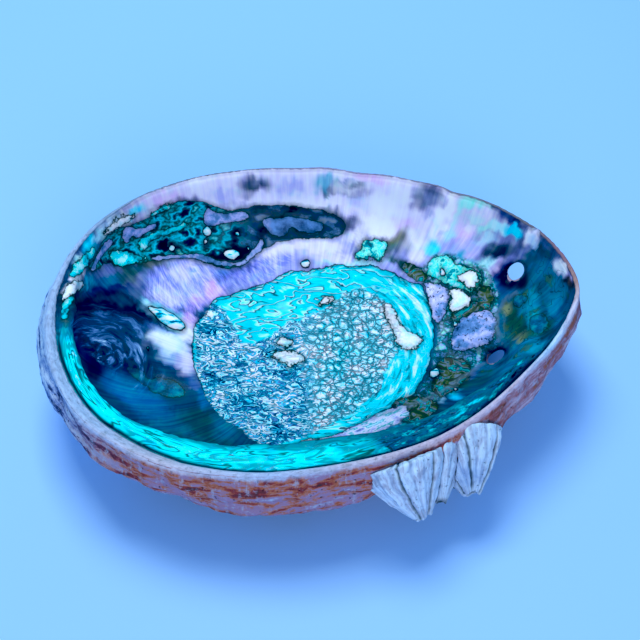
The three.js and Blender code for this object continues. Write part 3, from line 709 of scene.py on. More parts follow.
# %% Washes of the nacre
WASHES = [
    # x and y on the drawing, half-widths across and down, turn in degrees, colour, strength
    (320, 200, 230, 60, 0, "pale_lilac", 1.0), (320, 260, 240, 40, 0, "lilac", 0.7),
    (230, 440, 120, 34, 0, "bottle", 1.0), (330, 460, 180, 30, -4, "deep_sea", 0.9),
    (470, 420, 90, 34, -25, "deep_sea", 0.9), (480, 330, 60, 60, 0, "sea", 0.7),
    # the left end, between the lip and the spire
    (62, 330, 9, 34, 12, "sea", 1.0), (60, 345, 6, 14, 0, "turquoise", 0.5),
    (64, 318, 5, 9, 0, "olive", 0.6),
    (72, 300, 9, 10, 20, "bottle", 0.8), (67, 290, 7, 7, 20, "pearl_white", 0.9),
    (78, 276, 9, 8, 30, "pearl_white", 0.85), (88, 286, 9, 8, 0, "turquoise", 0.9),
    (80, 262, 8, 9, 30, "ice", 0.85), (92, 252, 9, 10, -30, "turquoise", 0.8),
    (90, 240, 8, 8, -30, "cyan", 0.8), (86, 270, 5, 5, 0, "olive", 0.5),
    (104, 236, 12, 7, -35, "ice", 0.8),
    (122, 222, 16, 7, -32, "pearl_white", 0.7), (136, 213, 12, 5, -25, "cyan", 0.8),
    (152, 208, 10, 5, -20, "mint", 0.5), (104, 218, 20, 6, -42, "grey", 0.6),
    # the back wall from left to right
    (166, 203, 22, 9, -14, "rose", 0.8), (188, 205, 14, 8, 0, "smoke", 0.8),
    (186, 214, 20, 8, 0, "moss", 0.8),
    (164, 218, 22, 6, -18, "smoke", 0.6), (198, 188, 8, 12, 10, "pearl_white", 0.6),
    (206, 190, 16, 8, -8, "pale_lilac", 0.7), (222, 194, 14, 8, 8, "lilac", 0.7),
    (256, 184, 19, 11, 4, "smoke", 0.95), (248, 192, 14, 7, 0, "moss", 0.5),
    (262, 180, 9, 5, 0, "grey", 0.5),
    (290, 188, 16, 12, 0, "lilac", 0.75), (306, 201, 22, 9, 8, "pearl_white", 0.6),
    (238, 204, 24, 5, 5, "grey", 0.5), (300, 178, 14, 6, 0, "pale_lilac", 0.8),
    (325, 183, 12, 9, 0, "turquoise", 0.75), (330, 192, 10, 6, 0, "moss", 0.7),
    (350, 190, 22, 8, 8, "smoke", 0.75), (344, 182, 10, 5, 0, "sea", 0.6),
    (370, 178, 18, 7, 6, "rose", 0.85),
    (362, 202, 12, 8, 0, "lilac", 0.6), (384, 206, 20, 13, 10, "pearl_white", 0.85),
    (402, 188, 12, 12, 0, "pale_lilac", 0.7), (372, 222, 22, 8, 0, "pearl_white", 0.75),
    (428, 198, 17, 13, 8, "grey", 0.95), (433, 190, 13, 7, 8, "smoke", 0.7),
    (418, 206, 10, 8, 0, "smoke", 0.5),
    (400, 230, 20, 12, 0, "rose", 0.65), (422, 226, 12, 14, 20, "pale_lilac", 0.7),
    (336, 224, 26, 13, 0, "smoke", 0.9), (322, 212, 20, 6, 6, "moss", 0.6),
    (338, 242, 20, 8, 0, "lilac", 0.8),
    # painted highlights: the two white streaks on the right of the back wall
    (449, 208, 6, 22, 30, "pearl_white", 0.95), (438, 232, 6, 14, 30, "pearl_white", 0.8),
    (456, 188, 7, 7, 20, "lilac", 0.7), (459, 200, 5, 18, 28, "rose", 0.7),
    (466, 204, 6, 18, 34, "mint", 0.85),
    (432, 246, 9, 9, 0, "cyan", 0.8), (428, 250, 6, 5, 0, "ice", 0.8), (452, 230, 6, 16, 30, "mint", 0.6),
    (462, 232, 12, 12, -20, "rose", 0.75), (474, 190, 12, 6, 22, "rose", 0.6),
    (483, 198, 16, 7, 28, "mint", 0.8), (484, 214, 14, 9, 20, "pale_lilac", 0.8),
    (500, 205, 16, 5, 30, "bottle", 0.9), (510, 216, 16, 7, 34, "slate", 0.95),
    (518, 224, 12, 5, 36, "navy", 0.8),
    (488, 228, 10, 6, 10, "mint", 0.8), (500, 228, 12, 7, 12, "ice", 0.95),
    (515, 233, 9, 6, 30, "cyan", 0.95),
    (486, 240, 12, 6, -10, "ice", 0.6), (470, 246, 16, 9, 20, "lilac", 0.8),
    (472, 258, 14, 6, 20, "rose", 0.6),
    # painted highlight: the white on the fold by the notch, at 528 and 536 across
    (528, 240, 5, 10, 20, "pearl_white", 0.85), (521, 244, 4, 10, 10, "smoke", 0.6),
    (536, 238, 5, 8, 10, "pearl_white", 0.5), (541, 252, 14, 10, 40, "bottle", 0.95),
    (552, 250, 8, 9, 40, "smoke", 0.6),
    (497, 253, 17, 10, 0, "smoke", 1.0), (500, 256, 10, 6, 0, "ink", 0.7),
    (513, 252, 8, 8, 0, "smoke", 0.7),
    (491, 268, 9, 7, 0, "rose", 0.8), (484, 258, 7, 5, 0, "grey", 0.6),
    # the trough at the growing end
    (540, 300, 34, 44, 20, "sea", 1.0), (536, 272, 16, 20, 20, "sea", 0.95),
    (530, 262, 9, 7, 0, "bottle", 0.7),
    # painted sheen: the white at 562 across, at the growing end
    (562, 268, 9, 7, 50, "pearl_white", 0.9), (566, 276, 6, 5, 50, "rose", 0.6),
    (567, 283, 9, 4, 0, "bark", 1.0),
    (552, 292, 12, 14, 20, "turquoise", 0.45), (510, 314, 12, 16, 0, "moss", 0.8),
    (509, 309, 8, 8, 0, "gold", 0.5),
    (522, 330, 12, 9, -20, "olive", 0.7), (530, 312, 10, 10, 0, "turquoise", 0.4),
    (540, 326, 12, 8, -20, "bottle", 0.7),
    (556, 312, 8, 14, 20, "azure", 0.6), (528, 326, 18, 16, -20, "moss", 0.5),
    (516, 336, 9, 6, -30, "gold", 0.35), (520, 298, 10, 6, 0, "olive", 0.4),
    (524, 348, 20, 6, -24, "turquoise", 0.35),
    (504, 362, 30, 10, -28, "sea", 0.95), (474, 382, 30, 9, -24, "bottle", 0.85),
    # the fan between the band and the scar
    (180, 288, 34, 22, 10, "lilac", 0.9), (165, 296, 20, 14, 20, "pale_lilac", 0.5),
    (214, 288, 13, 13, 0, "rose", 0.8), (196, 302, 12, 10, 0, "rose", 0.5),
    (190, 268, 26, 9, 10, "pale_lilac", 0.6),
    (286, 250, 34, 10, -18, "pale_lilac", 0.9), (262, 266, 30, 8, -20, "lilac", 0.7),
    # painted shade along the band's lower edge: the slate and steel here and the olive at 154 across
    (238, 272, 30, 6, -10, "slate", 0.6), (210, 270, 26, 4, 10, "steel", 0.5),
    (154, 264, 18, 8, -10, "olive", 0.8), (134, 270, 16, 8, 0, "bottle", 0.8),
    (130, 282, 16, 7, 0, "grey", 0.7),
    (112, 278, 14, 6, 0, "sea", 0.8), (106, 289, 30, 6, -8, "navy", 0.95),
    (140, 296, 12, 5, 20, "grey", 0.5),
    (320, 246, 26, 9, 0, "pale_lilac", 0.85), (356, 236, 12, 8, 0, "pearl_white", 0.5),
    (408, 243, 16, 11, 0, "pearl_white", 0.9), (380, 248, 34, 13, 0, "moss", 0.85),
    (394, 238, 14, 9, 0, "olive", 0.8),
    (362, 240, 8, 8, 0, "gold", 0.3), (405, 266, 28, 5, 14, "moss", 0.95),
    (350, 264, 36, 5, 0, "mint", 0.6),
    (332, 258, 24, 5, 0, "pale_lilac", 0.6), (416, 256, 9, 8, 0, "pale_lilac", 0.8),
    # the spire's hollow
    # painted shadow under the brow: the ink at 114 and 140 across
    (124, 354, 66, 62, 40, "deep_sea", 1.0), (114, 310, 46, 11, 8, "ink", 1.0),
    (140, 318, 24, 9, 30, "ink", 0.9),
    (98, 326, 26, 10, 4, "steel", 0.75), (128, 332, 20, 14, 25, "steel", 0.6),
    (142, 344, 10, 8, 30, "grey", 0.5),
    (84, 344, 14, 24, -20, "navy", 0.95), (110, 360, 34, 16, 30, "navy", 0.85),
    (94, 368, 14, 14, 20, "ink", 0.7),
    (104, 340, 12, 6, 0, "ink", 0.6), (138, 396, 40, 16, 32, "azure", 0.8),
    (124, 384, 16, 8, 30, "turquoise", 0.3),
    (176, 422, 44, 14, 20, "sea", 0.6), (120, 388, 22, 10, 32, "azure", 0.6),
    (208, 426, 34, 16, 28, "bottle", 0.95), (232, 438, 20, 14, 28, "bottle", 0.95),
    (224, 424, 12, 26, -36, "bottle", 0.9), (163, 313, 22, 8, 24, "ice", 0.9),
    (166, 312, 14, 5, 24, "cyan", 0.7),
    (180, 324, 12, 8, 34, "mint", 0.8), (158, 331, 20, 7, 12, "steel", 0.85),
    # the pale lobe, with a painted reflection of the light on it
    (170, 346, 22, 14, 42, "frost", 0.95), (164, 342, 14, 8, 20, "pearl_white", 0.5),
    (186, 362, 10, 16, -20, "pale_lilac", 0.8), (176, 358, 8, 10, -20, "steel", 0.5),
    (196, 384, 6, 14, -24, "steel", 0.7), (188, 334, 12, 10, 0, "pearl_white", 0.85),
    (190, 320, 8, 10, 0, "rose", 0.7),
    # the right end, beside the scar
    (462, 262, 24, 10, 10, "turquoise", 0.8), (484, 292, 12, 20, 0, "olive", 0.9),
    (486, 266, 10, 8, 0, "mint", 0.7),
    (506, 276, 15, 13, 0, "navy", 1.0), (488, 282, 8, 6, 0, "turquoise", 0.5),
    (474, 350, 34, 7, 0, "navy", 0.9), (474, 358, 30, 6, 0, "slate", 0.8),
    (447, 340, 9, 16, 0, "smoke", 0.9),
    (452, 374, 26, 18, -20, "bark", 0.9), (436, 392, 22, 12, -20, "smoke", 0.9),
    (454, 392, 8, 6, 0, "cyan", 0.8), (438, 398, 6, 4, 0, "ice", 0.8),
    (468, 372, 14, 6, -30, "steel", 0.7),
    (410, 408, 28, 12, -20, "moss", 0.95), (366, 428, 44, 9, -22, "rose", 0.8),
    (330, 440, 30, 8, -10, "pale_lilac", 0.7), (300, 444, 20, 6, 0, "pale_lilac", 0.7),
    (226, 426, 14, 18, -36, "sea", 0.9), (242, 440, 12, 12, -20, "deep_sea", 0.9),
    (206, 398, 8, 12, -24, "azure", 0.7),
    (128, 276, 12, 8, 0, "moss", 0.7), (186, 214, 10, 7, 0, "bottle", 0.7),
    (538, 306, 26, 34, 20, "bottle", 0.5),
    (533, 322, 9, 9, 0, "turquoise", 0.7), (513, 322, 9, 22, 10, "moss", 0.8),
    (522, 274, 8, 12, 20, "moss", 0.5),
    # painted highlights: more of the white streaks on the back wall
    (448, 206, 5, 20, 28, "pearl_white", 0.9), (440, 224, 4, 14, 24, "frost", 0.7),
    (462, 200, 3, 16, 30, "rose", 0.8),
    (472, 198, 5, 14, 32, "mint", 0.8), (478, 216, 8, 8, 20, "mint", 0.5),
    (512, 231, 12, 5, 30, "cyan", 0.8),
    (112, 222, 11, 8, -40, "frost", 0.85), (552, 305, 9, 14, 20, "turquoise", 0.4),
    (536, 345, 9, 12, 40, "turquoise", 0.35), (535, 290, 8, 12, 20, "bottle", 0.45),
    (400, 195, 15, 8, 0, "pearl_white", 0.6),
    (430, 215, 7, 6, 0, "steel", 0.5), (120, 330, 15, 7, 25, "slate", 0.6),
    # painted highlights: the white and green streak on the back wall, and the white at 381 across
    (450, 208, 6, 24, 25, "pearl_white", 0.9), (464, 201, 5, 14, 30, "mint", 0.6),
    (381, 228, 15, 10, -20, "pearl_white", 0.8),
    (350, 188, 17, 8, 0, "pearl_white", 0.6), (528, 300, 10, 12, 20, "turquoise", 0.45),
    # painted sheen: the white at 559 across; painted highlight: the frost at 532 across, on the notch's
    # fold
    (548, 330, 8, 13, 30, "bottle", 0.5), (559, 269, 12, 8, 50, "pearl_white", 1.0),
    (567, 285, 8, 4, 10, "bark", 0.9), (532, 243, 8, 7, 30, "frost", 0.7),
    (430, 250, 8, 6, 0, "cyan", 0.7), (356, 186, 12, 4, 0, "moss", 0.6),
    (470, 226, 10, 6, 0, "pale_lilac", 0.7),
    (388, 426, 30, 6, -22, "turquoise", 0.5), (430, 416, 26, 6, -22, "bottle", 0.8),
]


def painted(colour, share, name):
    """The colours with a share of one palette colour laid over them."""
    share = np.clip(share, 0, 1)[:, None]
    return colour * (1 - share) + np.array(PALETTE[name]) * share


BRUSH_SHAKE = 5.5
brush = spots.copy()
for axis, seed in enumerate((20, 22)):
    brush[:, axis] += BRUSH_SHAKE * wavy(bare_points, 9, seed)
    brush[:, axis] += 0.75 * BRUSH_SHAKE * wavy(bare_points, 3, seed + 1)
brush[:, 1] += 6.0 * wavy(growth * (1, 1, 0.12), 2.4, 26) + 2.0 * wavy(growth * (1, 1, 0.2), 1.1, 27)
wash = np.tile(np.array(PALETTE["deep_sea"]), (len(bare_points), 1))
for x, y, half_x, half_y, turned, name, strength in WASHES:
    angle = math.radians(turned)
    off = brush - (x, y)
    along = (off[:, 0] * math.cos(angle) + off[:, 1] * math.sin(angle)) / half_x
    aside = (off[:, 1] * math.cos(angle) - off[:, 0] * math.sin(angle)) / half_y
    wash = painted(wash, strength * soft_step(np.hypot(along, aside), 1.25, 0.45), name)
print("washes laid:", len(WASHES))

# %% Tints of the lip and the crust by direction
LIP_TINTS = [(-180, "cloud"), (-150, "cloud"), (-125, "sand"), (-95, "cloud"), (-70, "sand"),
             (-45, "blush"), (-20, "shell_pink"), (-8, "chalk_white"), (3, "shell_pink"), (9, "rust"),
             (16, "brick"), (30, "umber"), (80, "mauve"), (110, "umber"), (140, "grey"),
             (160, "cloud"), (180, "cloud")]
tint_steps = [step for step, _ in LIP_TINTS]
lip_tint = np.stack([np.interp(direction, tint_steps, [PALETTE[name][part] for _, name in LIP_TINTS])
                     for part in range(3)], axis=1)
wash[~inner] = lip_tint[~inner]
print("tints round the lip:", len(LIP_TINTS))

# %% Give the fields to the mesh
def keep_field(piece, name, values):
    """Keeps one number, or one direction or colour, for each point of the piece."""
    kind = {1: "FLOAT", 3: "FLOAT_VECTOR", 4: "FLOAT_COLOR"}[1 if values.ndim == 1 else values.shape[1]]
    key = {"FLOAT": "value", "FLOAT_VECTOR": "vector", "FLOAT_COLOR": "color"}[kind]
    attribute = piece.data.attributes.new(name, kind, "POINT")
    attribute.data.foreach_set(key, np.ascontiguousarray(values, dtype=np.float32).ravel())


SCAR_SPOT = (316, 358)
scar_turn, from_scar = polar_about(SCAR_SPOT, (1.0, 1.25))
scar_way = round_way(scar_turn, 40, from_scar)

for field_name, values in distances.items():
    keep_field(skin, field_name, values)
opaque = np.ones((len(wash), 1))
painted_shelf = np.where(inner & (direction < 60), has_shelf * soft_step(direction, -179, -171), 0.0)
OTHER_FIELDS = {
    "wash": np.concatenate((wash, opaque), axis=1),
    "lip_tint": np.concatenate((lip_tint, opaque), axis=1),
    "growth": growth,
    "fan_way": fan_way,
    "scar_way": scar_way,
    "swirl_way": swirl_way,
    "brow": brow,
    "ridge": ridge,
    "nacre_side": np.where(inner, 1.0, -1.0),
    "past_lip": np.where(inner, from_edge - lip_width, -from_edge),
    "turned": np.abs(direction),
    "across_shelf": across_shelf,
    "has_shelf": painted_shelf,
}
for field_name, values in OTHER_FIELDS.items():
    keep_field(skin, field_name, values)
print("fields kept:", len(skin.data.attributes))

# %% [markdown]
# ## Building materials in code
#
# Nacre is too rich for one ramp, so its material is a stack: washes first, then the patterned fields,
# then every island over them. A few helpers keep each layer to a line or two. They add their nodes to
# the tree that is being worked in. The numbers of a step are where it starts and where it ends. Those of
# a grain are its size in millimetres, its detail, its roughness and its distortion.

# %% Node helpers
BUMP_STRENGTH = 0.9
tree = None


def work_in(node_tree):
    """Makes this the node tree that the helpers add to."""
    global tree
    tree = node_tree


def new_material(name):
    """A material to work in, and its surface shader."""
    material = bpy.data.materials.new(name)
    material.use_nodes = True
    work_in(material.node_tree)
    return material, tree.nodes["Principled BSDF"]


def set_inputs(node, inputs):
    """Gives a node's inputs their values, or links them to other nodes' outputs."""
    for name, value in inputs.items():
        if isinstance(value, bpy.types.NodeSocket):
            tree.links.new(value, node.inputs[name])
        else:
            node.inputs[name].default_value = value


def add(kind, inputs=None, **settings):
    """Adds a shader node, with its settings and its inputs."""
    node = tree.nodes.new(kind if kind.startswith("NodeGroup") else "ShaderNode" + kind)
    for name, value in settings.items():
        setattr(node, name, value)
    set_inputs(node, inputs or {})
    return node


def place_group(group, inputs):
    """Places a node group and sets its inputs."""
    return add("Group", inputs, node_tree=group)


def maths(operation, first, second=0.0):
    """The result of one sum, product or other operation on numbers."""
    return add("Math", {0: first, 1: second}, operation=operation).outputs[0]


def times(first, second):
    """The product of two numbers."""
    return maths("MULTIPLY", first, second)


def plus(first, second):
    """The sum of two numbers."""
    return maths("ADD", first, second)


def minus(first, second):
    """The difference of two numbers."""
    return maths("SUBTRACT", first, second)


def step(value, start, end):
    """0 before start, 1 after end, and a smooth rise between them, in either order."""
    inputs = {"Value": value, "From Min": start, "From Max": end}
    return add("MapRange", inputs, interpolation_type="SMOOTHSTEP").outputs[0]


def blend(share, below, above, how="MIX"):
    """One colour laid over another by a share from 0 to 1."""
    node = add("Mix", {0: share, 6: below, 7: above}, data_type="RGBA", blend_type=how)
    return node.outputs[2]


def colour_of(name, dim=1.0):
    """A palette colour for a socket."""
    return tuple(part * dim for part in PALETTE[name]) + (1.0,)


def stain(below, name, share, strength=None, dim=1.0):
    """A palette colour laid over another colour by a share, which may be weakened."""
    if strength is not None:
        share = times(share, strength)
    return blend(share, below, colour_of(name, dim))


def ramp(value, stops):
    """A ramp of palette colours over a value from 0 to 1."""
    node = add("ValToRGB", {"Fac": value})
    elements = node.color_ramp.elements
    while len(elements) < len(stops):
        elements.new(0.5)
    for element, (place, name) in zip(elements, stops):
        element.position = place
        element.color = colour_of(name)
    return node.outputs["Color"]


def grain(where, size, detail=3.0, roughness=0.55, distortion=0.0):
    """Noise from 0 to 1 whose patches are about size millimetres across."""
    inputs = {"Vector": where, "Scale": 1 / size, "Detail": detail, "Roughness": roughness,
              "Distortion": distortion}
    return add("TexNoise", inputs).outputs["Fac"]


def field(name, output="Fac"):
    """A field that was kept on the mesh."""
    return add("Attribute", attribute_name=name).outputs[output]


def part_of(vector, axis):
    """One of a vector's three numbers."""
    return add("SeparateXYZ", {"Vector": vector}).outputs[axis]


def scaled(where, scale):
    """A place or direction, stretched along its axes."""
    return add("Mapping", {"Vector": where, "Scale": scale}).outputs["Vector"]


def millimetres():
    """The place on the object, in millimetres."""
    return scaled(add("TexCoord").outputs["Object"], (1000, 1000, 1000))


def raised(height):
    """A normal bent by a height in millimetres."""
    return add("Bump", {"Strength": BUMP_STRENGTH, "Distance": MM, "Height": height}).outputs["Normal"]


def count_nodes(made):
    """Says what was made and how many nodes the tree now has."""
    print(made + ":", len(tree.nodes), "nodes in all")


def new_group(name, inputs, outputs):
    """A node group to work in, what comes in through its inputs, and its end node."""
    group = bpy.data.node_groups.new(name, "ShaderNodeTree")
    work_in(group)
    for label, kind, value in inputs:
        socket = group.interface.new_socket(label, in_out="INPUT", socket_type="NodeSocket" + kind)
        if value is not None:
            socket.default_value = value
    for label, kind in outputs:
        group.interface.new_socket(label, in_out="OUTPUT", socket_type="NodeSocket" + kind)
    return group, add("NodeGroupInput").outputs, add("NodeGroupOutput")


# %% An outlined island
island, into, out = new_group(
    "Outlined island",
    [("Below", "Color", None), ("Fill", "Color", None), ("Line colour", "Color", colour_of("moss", 0.5)),
     ("Distance", "Float", 0.0), ("Shake", "Float", 0.0), ("Line width", "Float", 0.3),
     ("Line strength", "Float", 0.8), ("Halo width", "Float", 2.0), ("Halo strength", "Float", 0.5)],
    [("Colour", "Color"), ("Inside", "Float"), ("Line", "Float")])
shaken_distance = plus(into["Distance"], into["Shake"])
inside = step(shaken_distance, 0.12, -0.12)
line = step(maths("ABSOLUTE", shaken_distance), into["Line width"], 0.0)
line = times(line, into["Line strength"])
halo = step(shaken_distance, into["Halo width"], 0.0)
halo = times(halo, into["Halo strength"])
shaded = blend(halo, into["Below"], into["Line colour"])
# Inside its edge the fill darkens towards the line colour: painted shade that makes the island look
# raised.
edge_shade = times(step(shaken_distance, -2.2, 0.0), 0.3)
edge_shaded_fill = blend(edge_shade, into["Fill"], into["Line colour"])
filled = blend(inside, shaded, edge_shaded_fill)
set_inputs(out, {"Colour": blend(line, filled, into["Line colour"]), "Inside": inside, "Line": line})
count_nodes("an outlined island")

# %% Contour lines
contours, into, out = new_group(
    "Contour lines",
    [("Value", "Float", 0.5), ("Count", "Float", 6.0), ("Width", "Float", 0.1)],
    [("Line", "Float"), ("Sheet", "Float")])
laps = times(into["Value"], into["Count"])
sheet = maths("FRACT", laps)
from_step = maths("ABSOLUTE", minus(sheet, 0.5))
set_inputs(out, {"Line": step(from_step, into["Width"], 0.0), "Sheet": sheet})
count_nodes("contour lines")

# %% Bored pits
pitting, into, out = new_group(
    "Bored pits", [("Place", "Vector", None), ("Size", "Float", 1.5), ("Amount", "Float", 0.35)],
    [("Pits", "Float")])
holes = add("TexNoise", {"Vector": into["Place"], "Detail": 3.0, "Roughness": 0.6,
                         "Scale": maths("DIVIDE", 1.0, into["Size"])})
shallow = minus(into["Amount"], 0.07)
set_inputs(out, {"Pits": step(holes.outputs["Fac"], into["Amount"], shallow)})
print("node groups:", [group.name for group in bpy.data.node_groups])

# %% [markdown]
# ## The nacre
#
# The washes lie at the bottom. Over them come the fields that have a pattern of their own: the fine
# streaks of the fan, the terraces and the crackle of the muscle scar, the swirl of the spire, the contour
# lines of the trough and the bright shelf.

# %% Nacre: washes and shimmer
shell_material, surface = new_material("shell_material")
where = millimetres()
growth_way = field("growth", "Vector")
scar_direction = field("scar_way", "Vector")


def growth_grain(around, outwards, *shape):
    """A grain that follows the shell's growth, drawn out round the bowl or out from its edge."""
    return grain(scaled(growth_way, (around, around, outwards)), *shape)


fine = grain(where, 1.3, 4)
middling = grain(where, 4.5, 4, 0.6)
broad = grain(where, 13, 3)
shake = times(minus(grain(where, 2.1, 4, 0.6), 0.5), 3.0)

nacre = field("wash", "Color")
rays = growth_grain(1, 0.06, 2.2, 4, 0.6)
shimmer = blend(0.6, nacre, ramp(rays, [(0.34, "steel"), (0.48, "lilac"), (0.62, "pearl_white")]),
                "SOFT_LIGHT")
nacre = blend(0.8, nacre, shimmer)
play = ramp(middling, [(0.3, "lilac"), (0.46, "rose"), (0.58, "pale_lilac"), (0.72, "mint")])
nacre = blend(0.35, nacre, play, "SOFT_LIGHT")
count_nodes("washes and shimmer")

# %% Nacre: the fan of fine streaks
fan_share = step(field("fan"), 1.5, -3.0)
fan_grain = grain(field("fan_way", "Vector"), 0.75, 4, 0.65, 0.6)
streaks = ramp(fan_grain, [(0.3, "slate"), (0.44, "steel"), (0.55, "lilac"), (0.7, "pale_lilac")])
nacre = blend(times(fan_share, 0.45), nacre, streaks, "OVERLAY")
count_nodes("the fan of fine streaks")

# %% Nacre: how an island is laid
bump_height = times(middling, 0.15)


def lay_island(below, fill, name, line_width=0.3, strength=0.85, line="moss", amount=0.6, height=0.0,
               halo=0.45, halo_width=2.2):
    """Lays one kind of island over the nacre, and adds its edge to the bump."""
    global bump_height
    distance = field(name)
    shaking = times(shake, amount)
    placed = place_group(island, {
        "Below": below, "Fill": fill, "Distance": distance, "Shake": shaking,
        "Line colour": colour_of(line, 0.5), "Line width": line_width, "Line strength": strength,
        "Halo width": halo_width, "Halo strength": halo})
    if height:
        lifted = times(placed.outputs["Inside"], height)
        bump_height = plus(bump_height, lifted)
    bump_height = minus(bump_height, times(placed.outputs["Line"], 0.12))
    return placed.outputs["Colour"]


count_nodes("first bump of the nacre")

# %% Nacre: the mosaic beside the scar
place_x = part_of(where, "X")
mosaic_cells = add("TexVoronoi", {"Vector": where, "Scale": 0.3},
                   feature="DISTANCE_TO_EDGE").outputs["Distance"]
mosaic_seam = step(plus(mosaic_cells, times(shake, 0.06)), 0.16, 0.06)
ground_fill = ramp(grain(where, 4.2, 4, 0.6), [(0.32, "deep_sea"), (0.38, "sea"), (0.43, "haze"),
                                               (0.48, "moss"), (0.53, "turquoise"), (0.58, "lilac"),
                                               (0.65, "mint")])
ground_fill = stain(ground_fill, "moss", mosaic_seam, 0.6)
mosaic_share = step(plus(field("mosaic"), shake), 0.5, -1.0)
nacre = blend(times(mosaic_share, 0.8), nacre, ground_fill)
count_nodes("the mosaic beside the scar")

# %% Nacre: the dark band at the back
maze = grain(scaled(where, (0.8, 1.0, 1.2)), 5.5, 3, 0.5)
maze_lines = place_group(contours, {"Value": maze, "Count": 6.0, "Width": 0.07})
left_part = step(place_x, -22, -44)
slate_fill = ramp(maze, [(0.3, "ink"), (0.39, "deep_sea"), (0.46, "slate"), (0.52, "smoke"),
                         (0.58, "steel"), (0.66, "grey")])
pool_fill = ramp(maze, [(0.32, "ink"), (0.4, "navy"), (0.45, "sea"), (0.5, "cyan"), (0.54, "turquoise"),
                        (0.6, "moss"), (0.65, "turquoise"), (0.72, "mint")])
band_fill = blend(times(left_part, 0.85), slate_fill, pool_fill)
band_fill = stain(band_fill, "olive", maze_lines.outputs["Line"], 0.7, dim=0.5)
nacre = lay_island(nacre, band_fill, "band", 0.45, 0.75, height=-0.1)
count_nodes("the dark band at the back")

# %% Nacre: grey and teal islands
grey_fill = ramp(middling, [(0.32, "steel"), (0.44, "haze"), (0.55, "lilac"), (0.7, "haze")])
dark_isle = ramp(middling, [(0.34, "slate"), (0.5, "steel"), (0.66, "haze")])
right_part = step(place_x, -21, -15)
grey_fill = blend(right_part, grey_fill, dark_isle)
nacre = lay_island(nacre, grey_fill, "grey_isle", 0.35, 0.9, height=0.15)
teal_fill = ramp(middling, [(0.34, "sea"), (0.41, "turquoise"), (0.47, "cyan"), (0.54, "aqua"),
                            (0.62, "ice")])
mint_fill = ramp(middling, [(0.34, "sea"), (0.42, "turquoise"), (0.48, "mint"), (0.55, "aqua"),
                            (0.64, "ice")])
teal_fill = blend(right_part, teal_fill, mint_fill)
nacre = lay_island(nacre, teal_fill, "teal_isle", 0.4, 0.9, amount=1.1, height=0.15)
pool_tone = ramp(middling, [(0.3, "deep_sea"), (0.45, "azure"), (0.7, "turquoise")])
nacre = lay_island(nacre, pool_tone, "teal_pool", 0.35, 0.8, line="olive", halo=0.2)
nacre = stain(nacre, "ink", step(field("pocket"), 1.2, -1.6), 0.85)
count_nodes("grey and teal islands")

# %% Nacre: terraces of the scar
scar_distance = field("scar")
plates = grain(scaled(where, (0.5, 1.3, 1.0)), 6.5, 2.5, 0.5, 0.8)
terrace_way = plus(times(scar_distance, -0.26), times(plates, 5.0))
terrace = place_group(contours, {"Value": terrace_way, "Count": 1.0, "Width": 0.08})
# Each plate runs from cyan to a pale highlight just before its step and turns dark just after it: partly
# the nacre's own colour, partly painted light and shade of the steps.
terrace_fill = ramp(terrace.outputs["Sheet"], [(0.0, "cyan"), (0.2, "aqua"), (0.38, "ice"),
                                               (0.49, "pearl_white"), (0.51, "deep_sea"),
                                               (0.6, "turquoise"), (0.72, "cyan")])
depths = ramp(broad, [(0.36, "turquoise"), (0.46, "cyan"), (0.58, "aqua"), (0.68, "ice")])
terrace_fill = blend(0.25, terrace_fill, depths)
terrace_fill = stain(terrace_fill, "deep_sea", terrace.outputs["Line"], 0.9)
scar_streaks = grain(scaled(scar_direction, (0.16, 0.16, 0.8)), 2.0, 4, 0.55, 0.4)
streak_fill = ramp(scar_streaks, [(0.32, "navy"), (0.4, "turquoise"), (0.46, "cyan"), (0.54, "cyan"),
                                  (0.6, "ice"), (0.66, "pearl_white"), (0.74, "cyan")])
to_right = step(part_of(scar_direction, "X"), 12, 30)
terrace_fill = blend(times(to_right, 0.8), terrace_fill, streak_fill)
in_scar = step(scar_distance, 0.0, -0.8)
plate_height = times(times(terrace.outputs["Sheet"], in_scar), -0.5)
bump_height = plus(bump_height, plate_height)
nacre = lay_island(nacre, terrace_fill, "scar", 0.4, 0.9, line="deep_sea", height=-0.15, halo=0.1)
count_nodes("terraces of the scar")

# %% Nacre: folds and bubbles of the scar
swerve = add("TexNoise", {"Vector": where, "Scale": 0.35, "Detail": 3.0}).outputs["Color"]
warped = add("VectorMath", {0: where, 1: scaled(swerve, (3.2, 3.2, 3.2))}).outputs["Vector"]
crinkle_way = add("Mapping", {"Vector": where, "Rotation": (0, 0, math.radians(28)),
                              "Scale": (0.8, 1.5, 1.1)}).outputs["Vector"]
crinkle = grain(crinkle_way, 4.2, 2.5, 0.5, 1.1)
folds = place_group(contours, {"Value": crinkle, "Count": 4.6, "Width": 0.2})
cells = add("TexVoronoi", {"Vector": warped, "Scale": 0.29}, feature="DISTANCE_TO_EDGE")
crack = step(cells.outputs["Distance"], 0.11, 0.03)
to_bubbles = step(plus(place_x, times(broad, 16)), 2, 14)
crack = times(crack, plus(times(to_bubbles, 0.75), 0.1))
crack = maths("MAXIMUM", crack, times(folds.outputs["Line"], 0.8))
zones = grain(where, 8.5, 3, 0.55)
cell_mix = plus(times(folds.outputs["Sheet"], 0.22), times(zones, 0.78))
cell_fill = ramp(cell_mix, [(0.3, "turquoise"), (0.37, "cyan"), (0.42, "ice"), (0.46, "cyan"),
                            (0.51, "ice"), (0.56, "cyan"), (0.61, "pearl_white"), (0.69, "pearl_white")])
clumps = step(grain(crinkle_way, 6.5, 2.5, 0.5, 0.8), 0.54, 0.44)
fold_mix = plus(times(folds.outputs["Sheet"], 0.36), times(zones, 0.64))
fold_fill = ramp(fold_mix, [(0.28, "navy"), (0.34, "azure"), (0.39, "haze"), (0.44, "cyan"),
                            (0.49, "haze"), (0.54, "cyan"), (0.6, "ice"), (0.67, "pearl_white")])
cell_fill = blend(to_bubbles, fold_fill, cell_fill)
